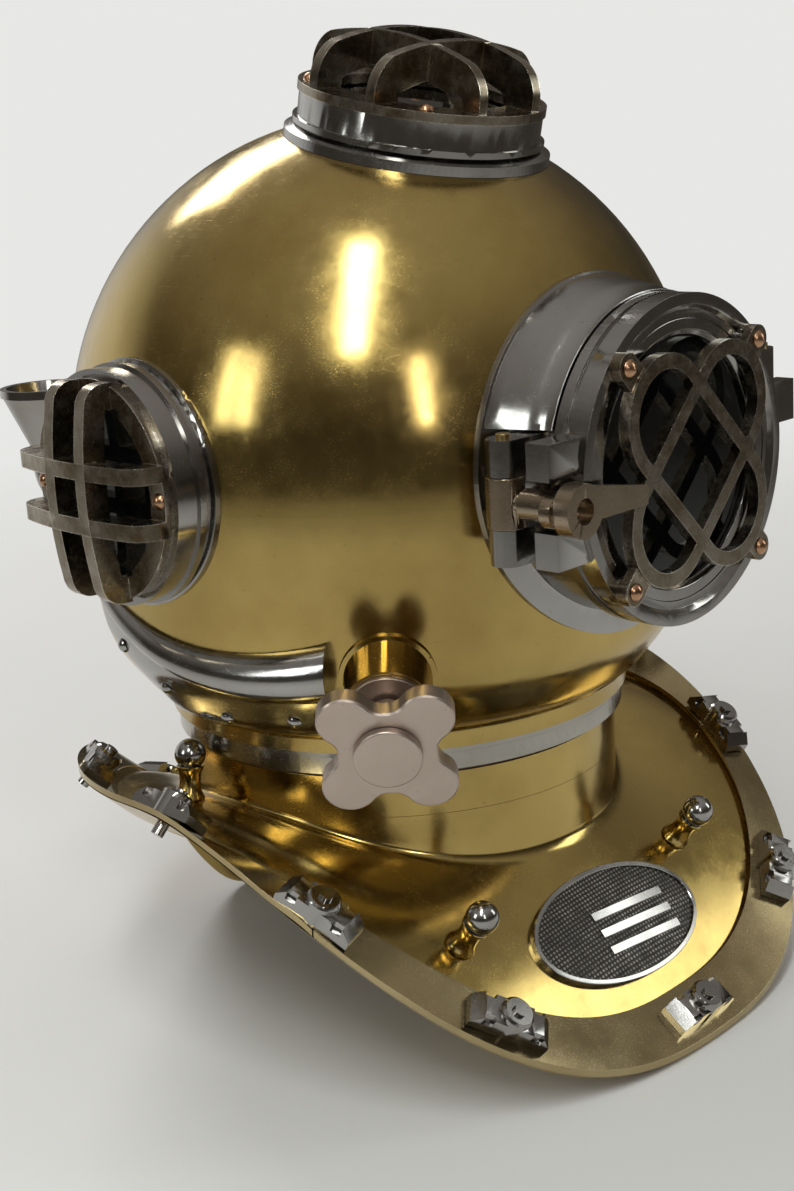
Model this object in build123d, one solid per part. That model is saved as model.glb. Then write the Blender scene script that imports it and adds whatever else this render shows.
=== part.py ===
from build123d import *
import math
import os

# Bonnet sheet, measured from the neck seam on the neck axis
BONNET_RADIUS = 150.0
BONNET_CENTRE_HEIGHT = 137.0
BONNET_SHEET = 2.5
BONNET_NECK_RADIUS = 113.5
BONNET_NECK_BOTTOM = 11.0
BONNET_NECK_TOP = 17.0
# Radius and height of the lower bonnet as shares of the bonnet radius
BONNET_LOWER_SHARES = (
    (0.783, 0.145),
    (0.860, 0.222),
    (0.927, 0.320),
    (0.963, 0.473),
    (0.9893, 0.713),
)

# Neck rings and their interrupted lugs
NECK_SEAM_RADIUS = 111.0
NECK_SEAM_HEIGHT = 8.0
SPIGOT_TOP = 16.5
SPIGOT_WALL = 3.0
SOLDER_GAP = 0.05
SKIRT_OUTER_RADIUS = 99.6
SKIRT_WALL = 2.6
SKIRT_DEPTH = 19.0
LUG_HEIGHT = 6.5
LUG_OUTER_RADIUS = 103.2
LUG_COUNT = 4
LUG_ANGLE = 38.0
LUG_RUNNING_GAP = 0.4
COLLAR_RADIUS = 107.0
COLLAR_RING_INNER_RADIUS = 103.7
COLLAR_RING_DEPTH = 22.0
COLLAR_RING_TOP_GAP = 2.6
COLLAR_LUG_HEIGHT = 6.5
GASKET_SQUEEZE_GAP = 0.15
NECK_GASKET_INNER_RADIUS = 104.2
NECK_GASKET_OUTER_RADIUS = 106.4

# Breastplate plan curves: half width, front reach, rear reach
RIM_HALF_WIDTH = 165.7
RIM_FRONT_REACH = 187.6
RIM_REAR_REACH = 125.0
RIM_SHOULDER_DEPTH = 4.0
RIM_LOW_DEPTH = 125.0
SEAM_HALF_WIDTH = 151.0
SEAM_FRONT_REACH = 166.3
SEAM_REAR_REACH = 113.0
SEAM_SHOULDER_DEPTH = 19.0
SEAM_LOW_DEPTH = 109.5
PLAN_POWER = 2.57
FLARE_STEPS = 4
FLARE_STEP_SHARE = 0.02
CUT_REACH = 40.0
RIM_FRONT_DROP_POWER = 1.6
SEAM_FRONT_DROP_POWER = 2.3
REAR_DROP_POWER = 4.4
REAR_FLATNESS_POWER = 2.5
FOLD_SHOULDER_DEPTH = 24.0
FOLD_FRONT_DEPTH = 50.0
FOLD_ROUNDING_POWER = 1.5
FLARE_BULGE = 3.5
PLATE_SHEET = 2.0
REST_CUT = 0.6
HALF_STATIONS = 24
BRAIL_STATION_ANGLE = 5.5
NUT_REACH_ANGLE = 8.0

# Brails, studs and wing nuts along the rim
BRAIL_THICKNESS = 3.2
BRAIL_SEAT_GAP = 0.2
BRAIL_JOINT_GAP = 0.6
BRAIL_EDGES = (-59.0, 59.0, 118.0, 242.0, 301.0)
STUD_ANGLES = (0.0, 34.0, 59.0, 88.0, 118.0, 149.0, 180.0, 211.0, 242.0, 272.0, 301.0, 326.0)
STUD_RADIUS = 3.0
STUD_HOLE_GAP = 0.15
STUD_CUT_REACH = 12.0
STUD_FOOT = 3.4
STUD_TIP = 1.6
NUT_HALF_LENGTH = 19.0
NUT_HALF_WIDTH = 7.0
NUT_WING_HEIGHT = 9.0
NUT_WING_TIP_HEIGHT = 4.0
NUT_WING_SLOPE = 5.0
NUT_HUB_RADIUS = 7.6
NUT_HUB_HEIGHT = 12.5
NUT_HUB_CHAMFER = 1.2
NUT_NOTCH_DEPTH = 2.2
NUT_NOTCH_WIDTH = 5.0
NUT_NOTCH_SHARE = 0.62

# Ball knobs: bearing from the front and share of the way from fold to seam
KNOB_PLACES = ((-38.0, 0.70), (27.0, 0.46), (-101.0, 0.37), (101.0, 0.37))
KNOB_BALL_RADIUS = 7.4
KNOB_STEM_RADIUS = 4.0
KNOB_STEM_HEIGHT = 13.0
KNOB_FOOT_RADIUS = 6.2
KNOB_FOOT_HEIGHT = 2.5
KNOB_WAIST = 1.3
KNOB_SEAT_GAP = 0.45

# Oval name plate, left blank
PLATE_BEARING = -3.8
PLATE_SHARE = 0.56
PLATE_TURN = -2.0
PLATE_HALF_LENGTH = 53.0
PLATE_HALF_WIDTH = 27.5
PLATE_THICKNESS = 2.4
PLATE_STATION_ANGLE = 7.0
PLATE_STATIONS = 4
PLATE_RIM_WIDTH = 2.4
PLATE_RIM_HEIGHT = 1.2
PLATE_BAR_LENGTH = 48.0
PLATE_BAR_WIDTH = 4.2
PLATE_BAR_HEIGHT = 0.9
PLATE_BAR_PITCH = 8.6
PLATE_BAR_SHIFT = 10.0
PLATE_BAR_DROP = 6.0
PLATE_BAR_COUNT = 3

# Shared port sizes
FLANGE_SKIN = 2.4
SKIN_SEAT_GAP = 0.1
HOLE_GAP = 0.1
FIT_GAP = 0.3
GASKET_THICKNESS = 1.2
GLASS_THICKNESS = 6.0

# Front port collar, distances out from the bonnet centre
FRONT_TUBE_RADIUS = 68.0
FRONT_BORE_RADIUS = 57.0
FRONT_TUBE_START = 126.0
FRONT_FACE = 162.0
FRONT_FLANGE_RADIUS = 78.5
SEAL_GROOVE_DEPTH = 1.6
SEAL_INNER_RADIUS = 60.0
SEAL_OUTER_RADIUS = 65.0
HOOD_BACK = 105.0
HOOD_BASE_RADIUS = 77.6
HOOD_BASE_REACH = 132.0
HOOD_OUTER_RADIUS = 73.2
HOOD_FRONT = 161.6
HOOD_SHOULDER = 3.0
HOOD_EDGE_HEIGHT = 22.5
HOOD_STEP_RADIUS = 71.4
HOOD_STEP_DEPTH = 9.0

# Faceplate door
DOOR_BACK = 162.3
DOOR_FACE = 179.0
DOOR_RADIUS = 70.4
DOOR_GROOVE_DEPTH = 1.2
DOOR_GROOVE_WIDTH = 2.4
DOOR_GROOVE_BACK = 167.0
DOOR_OPENING_RADIUS = 54.0
DOOR_REBATE_RADIUS = 60.0
DOOR_LIP = 3.0
RETAINER_THICKNESS = 4.0
RETAINER_INNER_RADIUS = 53.0
DOOR_RIM_STEP = 2.0
DOOR_RIM_STEP_RADIUS = 65.5

# Faceplate guard of two crossed oblong rings
GUARD_BAND_RADIUS = 23.7
GUARD_END_OFFSET = 31.0
GUARD_BAR_WIDTH = 6.4
GUARD_BACK = 179.1
GUARD_FRONT = 186.0
GUARD_BAR_BACK = 180.6
EAR_CIRCLE_RADIUS = 64.8
EAR_RADIUS = 6.2
EAR_INSET = 1.2
EAR_FRONT = 184.6
EAR_SCREW_RADIUS = 2.2
EAR_SCREW_DEPTH = 8.0
EAR_SCREW_HEAD_RADIUS = 3.9
EAR_SCREW_HEAD_HEIGHT = 2.4

# Faceplate hinge on the diver's left
HINGE_X = 84.0
HINGE_REACH = 158.5
KNUCKLE_RADIUS = 7.5
PIN_RADIUS = 3.5
PIN_RUNNING_GAP = 0.05
PIN_HEAD_RADIUS = 5.0
PIN_HEAD_HEIGHT = 2.0
HINGE_LOW = -15.0
HINGE_MID_LOW = 3.5
HINGE_MID_HIGH = 22.0
HINGE_HIGH = 36.0
HINGE_ARM_FRONT = 174.0
HINGE_ARM_BACK = 165.0
HINGE_ARM_START_X = 62.0
HINGE_ARM_END_X = 90.0
HINGE_LUG_START_X = 64.0
HINGE_LUG_BACK = 152.0
HINGE_LUG_FRONT = 160.0

# Faceplate latch on the diver's right, placed from the port axis
LATCH_X = 84.0
LATCH_DROP = 4.0
LATCH_HALF_GAP = 10.8
LATCH_LUG_HEIGHT = 15.0
LATCH_LUG_START_X = 62.0
UPPER_LUG_END_X = 89.0
LOWER_LUG_END_X = 85.5
COLLAR_KNUCKLE_RADIUS = 7.2
DOOR_LUG_BACK = 165.5
DOOR_LUG_FRONT = 177.0
SWING_REACH = 150.0
EYE_RADIUS = 8.0
ROD_RADIUS = 4.0
ROD_END = 185.0
THREAD_RUNNING_GAP = 0.05
SWING_PIN_RADIUS = 3.0
LEVER_FOOT_BACK = 177.4
LEVER_FOOT_FRONT = 182.5
LEVER_FOOT_HALF_LENGTH = 13.0
LEVER_BOSS_RADIUS = 11.0
LEVER_BOSS_FRONT = 190.4
LEVER_COLLAR_RADIUS = 6.5
LEVER_COLLAR_BACK = 160.8
LEVER_BORE_MOUTH_RADIUS = 5.3
LEVER_ARM_BACK = 186.5
LEVER_ARM_REACH = 40.5
LEVER_ARM_DROP = 4.8
LEVER_ARM_ROOT_RISE = 10.2
LEVER_ARM_TIP_RISE = 3.2

# Arched guard fins
FIN_KNEE_SHARE = 0.80
FIN_KNEE_RISE_SHARE = 0.74
FIN_ROOT_DEPTH = 1.2

# Side ports, axis swung to the rear
SIDE_SWING = 4.0
SIDE_TUBE_RADIUS = 51.8
SIDE_BORE_RADIUS = 36.5
SIDE_TUBE_START = 132.0
SIDE_COLLAR_FRONT = 160.0
SIDE_FLANGE_RADIUS = 54.2
SIDE_BEAD_RADIUS = 53.2
SIDE_BEAD_LOW = 146.5
SIDE_BEAD_HIGH = 149.5
SIDE_REBATE_RADIUS = 41.0
SIDE_REBATE_DEPTH = 9.0
SIDE_RING_RADIUS = 48.3
SIDE_RING_INNER_RADIUS = 38.0
SIDE_FACE = 164.0
SIDE_GUARD_CREST = 181.0
SIDE_GUARD_OFFSET = 11.8
SIDE_FIN_THICKNESS = 7.2
SIDE_FIN_DEPTH = 11.0
SIDE_FIN_END = 47.5
SIDE_FIN_END_HEIGHT = 4.5
SIDE_SCREW_CIRCLE = 44.0
SIDE_SCREW_RADIUS = 2.0
SIDE_SCREW_HEAD_RADIUS = 3.6
SIDE_SCREW_HEAD_HEIGHT = 2.6
SIDE_SCREW_DEPTH = 6.5

# Top light, axis tilted forward
TOP_TILT = 13.7
TOP_TUBE_RADIUS = 55.5
TOP_BORE_RADIUS = 42.0
TOP_TUBE_START = 134.0
TOP_COLLAR_FRONT = 158.2
TOP_FLANGE_RADIUS = 61.0
TOP_FLANGE_SKIN = 4.0
TOP_BEAD_RADIUS = 57.6
TOP_BEAD_LOW = 144.5
TOP_BEAD_HIGH = 147.0
TOP_REBATE_RADIUS = 47.0
TOP_REBATE_DEPTH = 8.2
TOP_DISC_RADIUS = 56.5
TOP_DISC_INNER_RADIUS = 40.0
TOP_FACE = 162.5
TOP_GUARD_OFFSET = 17.5
TOP_GUARD_CREST = 188.0
TOP_FIN_THICKNESS = 5.0
TOP_FIN_DEPTH = 15.0
TOP_FIN_END = 52.0
TOP_FIN_END_HEIGHT = 5.0
TOP_SCREW_CIRCLE = 50.5
TOP_SCREW_COUNT = 4

# Exhaust valve, placed by where its axis leaves the bonnet
VALVE_BEARING = -47.1
VALVE_DIP = 18.0
VALVE_AXIS_RADIUS = 138.9
VALVE_AXIS_HEIGHT = 55.8
VALVE_RADIUS = 19.0
VALVE_START = -12.0
VALVE_FRONT = 25.5
VALVE_BORE = 14.0
VALVE_SEAT_BORE = 9.0
VALVE_SEAT_BACK = -3.0
VALVE_SEAT_FRONT = 0.0
VALVE_FLANGE_RADIUS = 21.0
VALVE_CAP_FRONT = 28.5
VALVE_CAP_RADIUS = 17.6
VALVE_CAP_PLUG = 4.0
VALVE_SIDE_HOLE = 6.5
VALVE_SIDE_HOLE_PLACE = 16.0
VALVE_DISC_RADIUS = 11.6
VALVE_DISC_THICKNESS = 2.6
VALVE_STEM_RADIUS = 2.2
STEM_RUNNING_GAP = 0.08
CHIN_BUTTON_BACK = -27.0
CHIN_BUTTON_THICKNESS = 3.5
CHIN_BUTTON_RADIUS = 14.0
WHEEL_BACK = 48.0
WHEEL_FRONT = 56.0
WHEEL_LOBE_RADIUS = 11.5
WHEEL_LOBE_OFFSET = 23.0
WHEEL_CORE_RADIUS = 20.0
WHEEL_HUB_RADIUS = 9.0
WHEEL_HUB_BACK = 30.5
WHEEL_SLEEVE_RADIUS = 6.0
WHEEL_SLEEVE_BACK = 20.0
WHEEL_FILLET = 8.0
WHEEL_EDGE_ROUND = 1.4
WHEEL_BUTTON_RADIUS = 14.0
WHEEL_BUTTON_BACK = 56.4
WHEEL_BUTTON_FRONT = 60.0
BUTTON_EDGE_ROUND = 1.0
ADJUSTER_BACK = 15.0
ADJUSTER_FRONT = 19.6
ADJUSTER_RADIUS = 13.6
SPRING_COIL_RADIUS = 8.0
SPRING_WIRE_RADIUS = 0.8
SPRING_TURNS = 4.0
SPRING_END_GAP = 0.1

# Exhaust channel wrapped round the diver's right of the bonnet
CHANNEL_START = -57.0
CHANNEL_END = -114.0
CHANNEL_LOWEST_BEARING = -72.0
CHANNEL_LOW_HEIGHT = 55.0
CHANNEL_RISE = 107.0
CHANNEL_HALF_WIDTH = 13.2
CHANNEL_PROUD = 13.0
CHANNEL_END_HALF_WIDTH = 4.2
CHANNEL_END_PROUD = 3.4
CHANNEL_WALL = 1.8
CHANNEL_ROOT = 8.0
CHANNEL_STATIONS = 8
SKIN_HALVINGS = 16
CHANNEL_FLANGE_SKIN = 1.6
CHANNEL_FLANGE_BOTTOM = 22.0
CHANNEL_FLANGE_LAP = 6.0
CHANNEL_END_WALL = 2.0
FLANGE_TAIL_BEARING = -125.0
FLANGE_TAIL_REACH = 119.0
FLANGE_TAIL_HEIGHT = 31.0
FLANGE_TAIL_SLOPE = 1.32
RIVET_PLACES = ((-66.5, 31.5), (-83.0, 29.0), (-96.5, 40.0), (-106.5, 56.5))
RIVET_RADIUS = 1.6
RIVET_HEAD_RADIUS = 3.6
RIVET_HEAD_HEIGHT = 2.2
RIVET_LENGTH = 4.2
RIVET_SEAT_GAP = 0.35

# Goosenecks at the rear
GOOSENECK_BEARING = 150.0
GOOSENECK_REACH = 176.0
GOOSENECK_ROOT_HEIGHT = 105.0
GOOSENECK_ROOT_RADIUS = 143.0
GOOSENECK_PIPE_RADIUS = 10.0
GOOSENECK_WALL = 2.5
GOOSENECK_BEND = 17.0
GOOSENECK_NUT_LOW = 124.0
GOOSENECK_NUT_HIGH = 132.0
GOOSENECK_NUT_RADIUS = 12.5
GOOSENECK_CUP_TOP = 163.0
GOOSENECK_CUP_RADIUS = 21.6
GOOSENECK_CUP_WALL = 2.2
GOOSENECK_RIM_HEIGHT = 4.0
GOOSENECK_RIM_PROUD = 1.0
GOOSENECK_FLANGE_RADIUS = 19.0

# Safety latch at the rear of the neck
LOCK_Y = 117.5
LOCK_PIVOT_DEPTH = 12.0
LOCK_PIN_RADIUS = 2.5
LOCK_ARM_HALF_WIDTH = 3.0
LOCK_ARM_THICKNESS = 6.0
LOCK_ARM_LENGTH = 20.0
LOCK_EYE_RADIUS = 5.0
LOCK_SIDE_GAP = 0.3
LOCK_CHEEK_THICKNESS = 4.0
LOCK_CHEEK_RADIUS = 5.0
LOCK_LUG_INNER_Y = 109.0
LOCK_LUG_OUTER_Y = 123.0
LOCK_LUG_LOW = 0.6
LOCK_LUG_HIGH = 8.0
LOCK_LUG_HALF_WIDTH = 8.5


def save(shape, node):
    """Write one node to its own file."""
    export_step(shape, f"parts/{node}.step")


def polar(radius, bearing, height=0.0):
    """Point at a bearing from the front, turning toward the diver's left."""
    angle = math.radians(bearing)
    return Vector(radius * math.sin(angle), -radius * math.cos(angle), height)


def turned(points):
    """Solid turned about the local Z axis from radius and height pairs."""
    outline = Polyline([(radius, 0, height) for radius, height in points], close=True)
    return revolve(make_face(outline), axis=Axis.Z)


def ring(inner, outer, low, high):
    """Plain ring between two radii and two heights."""
    return turned([(inner, low), (outer, low), (outer, high), (inner, high)])


def rod(radius, low, high):
    """Round bar on the local Z axis."""
    return turned([(0, low), (radius, low), (radius, high), (0, high)])


def slab(x_range, y_range, z_range):
    """Block between two limits on each axis."""
    centre = [(low + high) / 2 for low, high in (x_range, y_range, z_range)]
    size = [high - low for low, high in (x_range, y_range, z_range)]
    return Pos(*centre) * Box(*size)


def dome(radius, height, low):
    """Domed cap of a given radius and height standing on a level."""
    ball = (radius**2 + height**2) / (2 * height)
    cap = Pos(0, 0, low + height - ball) * Sphere(ball)
    return cap & rod(radius, low, low + height)


def port_frame(bearing, lift):
    """Frame at the bonnet centre whose Z axis looks out of a port."""
    level = math.cos(math.radians(lift))
    outward = polar(level, bearing, math.sin(math.radians(lift)))
    across = polar(1, bearing + 90)
    return Plane(origin=(0, 0, BONNET_CENTRE_HEIGHT), x_dir=across, z_dir=outward)


def bonnet_points(offset):
    """Lower bonnet outline moved out by an offset."""
    raw = [(BONNET_NECK_RADIUS, BONNET_NECK_TOP)]
    raw += [(r * BONNET_RADIUS, h * BONNET_RADIUS) for r, h in BONNET_LOWER_SHARES]
    raw += [(BONNET_RADIUS, BONNET_CENTRE_HEIGHT)]
    moved = []
    for index, (radius, height) in enumerate(raw):
        if index in (0, len(raw) - 1):
            moved.append((radius + offset, height))
            continue
        run = raw[index + 1][0] - raw[index - 1][0]
        rise = raw[index + 1][1] - raw[index - 1][1]
        length = math.hypot(run, rise)
        moved.append((radius + offset * rise / length, height - offset * run / length))
    return moved


def bonnet_outline(offset):
    """Bonnet outline from the neck to the crown in the XZ plane."""
    points = [(radius, 0, height) for radius, height in bonnet_points(offset)]
    radius = BONNET_RADIUS + offset
    half = radius * math.sin(math.radians(45))
    return [
        Line((BONNET_NECK_RADIUS + offset, 0, BONNET_NECK_BOTTOM), points[0]),
        Spline(points, tangents=[(0, 0, 1), (0, 0, 1)]),
        ThreePointArc(
            points[-1],
            (half, 0, BONNET_CENTRE_HEIGHT + half),
            (0, 0, BONNET_CENTRE_HEIGHT + radius),
        ),
    ]


def bonnet_core(offset):
    """Solid filling the bonnet out to an offset from its outer skin."""
    edges = bonnet_outline(offset)
    crown = (0, 0, BONNET_CENTRE_HEIGHT + BONNET_RADIUS + offset)
    foot = (0, 0, BONNET_NECK_BOTTOM)
    edges.append(Line(crown, foot))
    edges.append(Line(foot, (BONNET_NECK_RADIUS + offset, 0, BONNET_NECK_BOTTOM)))
    return revolve(make_face(edges), axis=Axis.Z)


def seated_flange(frame, inner, outer, reach, skin):
    """Ring that follows the bonnet skin round a fitting."""
    band = frame.location * ring(inner, outer, 0, reach)
    return (band & bonnet_core(SKIN_SEAT_GAP + skin)) - bonnet_core(SKIN_SEAT_GAP)


FRONT = port_frame(0, 0)
RIGHT = port_frame(-90 - SIDE_SWING, 0)
TOP = port_frame(0, 90 - TOP_TILT)


def valve_frame():
    """Frame on the exhaust valve axis where it leaves the bonnet."""
    dip = math.radians(VALVE_DIP)
    outward = polar(math.cos(dip), VALVE_BEARING, -math.sin(dip))
    origin = polar(VALVE_AXIS_RADIUS, VALVE_BEARING, VALVE_AXIS_HEIGHT)
    return Plane(origin=origin, x_dir=polar(1, VALVE_BEARING + 90), z_dir=outward)


VALVE = valve_frame()


def bonnet():
    """Spun brass bonnet with its port and fitting holes."""
    shell = bonnet_core(0) - bonnet_core(-BONNET_SHEET)
    left = mirror(RIGHT.location * rod(SIDE_TUBE_RADIUS + HOLE_GAP, 0, 2 * BONNET_RADIUS), about=Plane.YZ)
    shell -= left
    shell -= RIGHT.location * rod(SIDE_TUBE_RADIUS + HOLE_GAP, 0, 2 * BONNET_RADIUS)
    shell -= FRONT.location * rod(FRONT_TUBE_RADIUS + HOLE_GAP, 0, 2 * BONNET_RADIUS)
    shell -= TOP.location * rod(TOP_TUBE_RADIUS + HOLE_GAP, 0, 2 * BONNET_RADIUS)
    shell -= VALVE.location * rod(VALVE_RADIUS + HOLE_GAP, VALVE_START, VALVE_FRONT)
    for side in (-1, 1):
        shell -= gooseneck_root(side).location * rod(
            GOOSENECK_PIPE_RADIUS + HOLE_GAP, -2 * BONNET_SHEET, CUT_REACH
        )
    for place in rivet_frames():
        shell -= place.location * rod(RIVET_RADIUS + HOLE_GAP, -RIVET_LENGTH, RIVET_LENGTH)
    return shell


def lug_sectors(inner, outer, low, high):
    """Evenly spaced lugs left from a ring."""
    lugs = Part()
    half = math.radians(LUG_ANGLE / 2)
    reach = 2 * outer
    wedge = Polyline(
        (0, 0, low),
        (reach * math.cos(half), -reach * math.sin(half), low),
        (reach * math.cos(half), reach * math.sin(half), low),
        close=True,
    )
    prism = extrude(make_face(wedge), amount=high - low, dir=(0, 0, 1))
    lug = ring(inner, outer, low, high) & prism
    for index in range(LUG_COUNT):
        turn = (index + 0.5) * 360 / LUG_COUNT
        lugs += Rot(0, 0, turn) * lug
    return lugs


def bonnet_neck_ring():
    """Bright neck ring with skirt, lugs and the rear lock fork."""
    spigot = BONNET_NECK_RADIUS - BONNET_SHEET - SOLDER_GAP
    body = turned([
        (SKIRT_OUTER_RADIUS - SKIRT_WALL, -SKIRT_DEPTH),
        (SKIRT_OUTER_RADIUS, -SKIRT_DEPTH),
        (SKIRT_OUTER_RADIUS, 0),
        (NECK_SEAM_RADIUS, 0),
        (NECK_SEAM_RADIUS, NECK_SEAM_HEIGHT),
        (spigot, NECK_SEAM_HEIGHT),
        (spigot, SPIGOT_TOP),
        (spigot - SPIGOT_WALL, SPIGOT_TOP),
        (spigot - SPIGOT_WALL, NECK_SEAM_HEIGHT),
        (SKIRT_OUTER_RADIUS - SKIRT_WALL, 0),
    ])
    body += lug_sectors(
        SKIRT_OUTER_RADIUS - SKIRT_WALL / 2,
        LUG_OUTER_RADIUS,
        -SKIRT_DEPTH,
        -SKIRT_DEPTH + LUG_HEIGHT,
    )
    fork = slab(
        (-LOCK_LUG_HALF_WIDTH, LOCK_LUG_HALF_WIDTH),
        (LOCK_LUG_INNER_Y, LOCK_LUG_OUTER_Y),
        (LOCK_LUG_LOW, LOCK_LUG_HIGH),
    )
    slot = LOCK_ARM_HALF_WIDTH + LOCK_SIDE_GAP
    fork -= slab(
        (-slot, slot),
        (NECK_SEAM_RADIUS + LOCK_SIDE_GAP, 2 * LOCK_LUG_OUTER_Y),
        (-LOCK_LUG_HIGH, 2 * LOCK_LUG_HIGH),
    )
    return body + fork


def breastplate_neck_ring():
    """Machined ring of the breastplate with inward lugs and lock cheeks."""
    top = -COLLAR_RING_TOP_GAP
    body = ring(COLLAR_RING_INNER_RADIUS, COLLAR_RADIUS, -COLLAR_RING_DEPTH, top)
    lug_low = -SKIRT_DEPTH + LUG_HEIGHT + LUG_RUNNING_GAP
    body += lug_sectors(
        SKIRT_OUTER_RADIUS + LUG_RUNNING_GAP,
        (COLLAR_RING_INNER_RADIUS + COLLAR_RADIUS) / 2,
        lug_low,
        lug_low + COLLAR_LUG_HEIGHT,
    )
    inner = LOCK_ARM_HALF_WIDTH + LOCK_SIDE_GAP
    for side in (-1, 1):
        x_range = sorted((side * inner, side * (inner + LOCK_CHEEK_THICKNESS)))
        cheek = slab(
            x_range,
            (COLLAR_RADIUS - LOCK_SIDE_GAP, LOCK_Y),
            (-LOCK_PIVOT_DEPTH - LOCK_CHEEK_RADIUS, -LOCK_PIVOT_DEPTH + LOCK_CHEEK_RADIUS),
        )
        cheek += lock_barrel(LOCK_CHEEK_RADIUS, x_range)
        cheek -= lock_barrel(LOCK_PIN_RADIUS, (-2 * LOCK_Y, 2 * LOCK_Y))
        cheek -= ring(0, COLLAR_RADIUS - LOCK_SIDE_GAP, -LOCK_Y, LOCK_Y)
        body += cheek
    return body


def lock_barrel(radius, x_range):
    """Round bar along X at the safety latch pivot."""
    bar = rod(radius, x_range[0], x_range[1])
    return Pos(0, LOCK_Y, -LOCK_PIVOT_DEPTH) * Rot(0, 90, 0) * bar


def safety_latch():
    """Latch arm hanging open from its pin."""
    half = LOCK_ARM_HALF_WIDTH
    arm = slab(
        (-half, half),
        (LOCK_Y - LOCK_ARM_THICKNESS / 2, LOCK_Y + LOCK_ARM_THICKNESS / 2),
        (-LOCK_PIVOT_DEPTH - LOCK_ARM_LENGTH, -LOCK_PIVOT_DEPTH),
    )
    arm += lock_barrel(LOCK_EYE_RADIUS, (-half, half))
    return arm - lock_barrel(LOCK_PIN_RADIUS + PIN_RUNNING_GAP, (-2 * half, 2 * half))


def safety_latch_pin():
    """Pin across the lock cheeks."""
    reach = LOCK_ARM_HALF_WIDTH + LOCK_SIDE_GAP + LOCK_CHEEK_THICKNESS
    return lock_barrel(LOCK_PIN_RADIUS - SOLDER_GAP, (-reach, reach))


def neck_gasket():
    """Leather gasket squeezed between the neck rings."""
    low = -COLLAR_RING_TOP_GAP + GASKET_SQUEEZE_GAP
    return ring(NECK_GASKET_INNER_RADIUS, NECK_GASKET_OUTER_RADIUS, low, -GASKET_SQUEEZE_GAP)


def plan_radius(bearing, half_width, front, rear):
    """Distance from the neck axis to a rounded oblong plan curve."""
    angle = math.radians(bearing)
    reach = front if math.cos(angle) > 0 else rear
    across = abs(math.sin(angle) / half_width) ** PLAN_POWER
    along = abs(math.cos(angle) / reach) ** PLAN_POWER
    return (across + along) ** (-1 / PLAN_POWER)


def curve_point(bearing, curve):
    """Point on the rim or seam curve."""
    half_width, front, rear, shoulder, low, front_power = curve
    point = polar(plan_radius(bearing, half_width, front, rear), bearing)
    if point.Y < 0:
        share = min(1, -point.Y / front) ** front_power
    else:
        turn = abs(math.sin(math.radians(bearing)))
        share = (1 - turn**REAR_FLATNESS_POWER) ** REAR_DROP_POWER
    return Vector(point.X, point.Y, -shoulder - (low - shoulder) * share)


RIM = (
    RIM_HALF_WIDTH,
    RIM_FRONT_REACH,
    RIM_REAR_REACH,
    RIM_SHOULDER_DEPTH,
    RIM_LOW_DEPTH,
    RIM_FRONT_DROP_POWER,
)
SEAM = (
    SEAM_HALF_WIDTH,
    SEAM_FRONT_REACH,
    SEAM_REAR_REACH,
    SEAM_SHOULDER_DEPTH,
    SEAM_LOW_DEPTH,
    SEAM_FRONT_DROP_POWER,
)


def fold_point(bearing):
    """Point where the neck meets the flare."""
    side_share = abs(math.sin(math.radians(bearing))) ** (2 * FOLD_ROUNDING_POWER)
    depth = FOLD_FRONT_DEPTH - (FOLD_FRONT_DEPTH - FOLD_SHOULDER_DEPTH) * side_share
    return polar(COLLAR_RADIUS, bearing, -depth)


def plate_drop():
    """Vertical distance from the brail top to the sheet top."""
    return BRAIL_THICKNESS + BRAIL_SEAT_GAP


def flare_point(bearing, share):
    """Point on the outer sheet between the fold and the seam."""
    start = fold_point(bearing)
    end = curve_point(bearing, SEAM) - Vector(0, 0, plate_drop())
    bulge = 4 * share * (1 - share) * FLARE_BULGE
    return start + (end - start) * share + Vector(0, 0, bulge)


def flare_line(bearing):
    """Points down the outer sheet in one radial plane."""
    return [flare_point(bearing, step / FLARE_STEPS) for step in range(FLARE_STEPS + 1)]


def sheet_section(bearing):
    """Closed outline of the breastplate sheet in one radial plane."""
    top = polar(COLLAR_RADIUS, bearing, -COLLAR_RING_DEPTH - SOLDER_GAP)
    lower = polar(-PLATE_SHEET, bearing, -PLATE_SHEET)
    neck_inner = polar(COLLAR_RADIUS - PLATE_SHEET, bearing, top.Z)
    flare = flare_line(bearing)
    fold_inner = flare[0] + lower
    rim = curve_point(bearing, RIM) - Vector(0, 0, plate_drop())
    under = [point + lower for point in flare[1:]]
    return Wire([
        Edge.make_line(top, flare[0]),
        Edge.make_spline(flare),
        Edge.make_line(flare[-1], rim),
        Edge.make_line(rim, rim + lower),
        Edge.make_line(rim + lower, under[-1]),
        Edge.make_spline(list(reversed(under)) + [fold_inner]),
        Edge.make_line(fold_inner, neck_inner),
        Edge.make_line(neck_inner, top),
    ])


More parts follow.
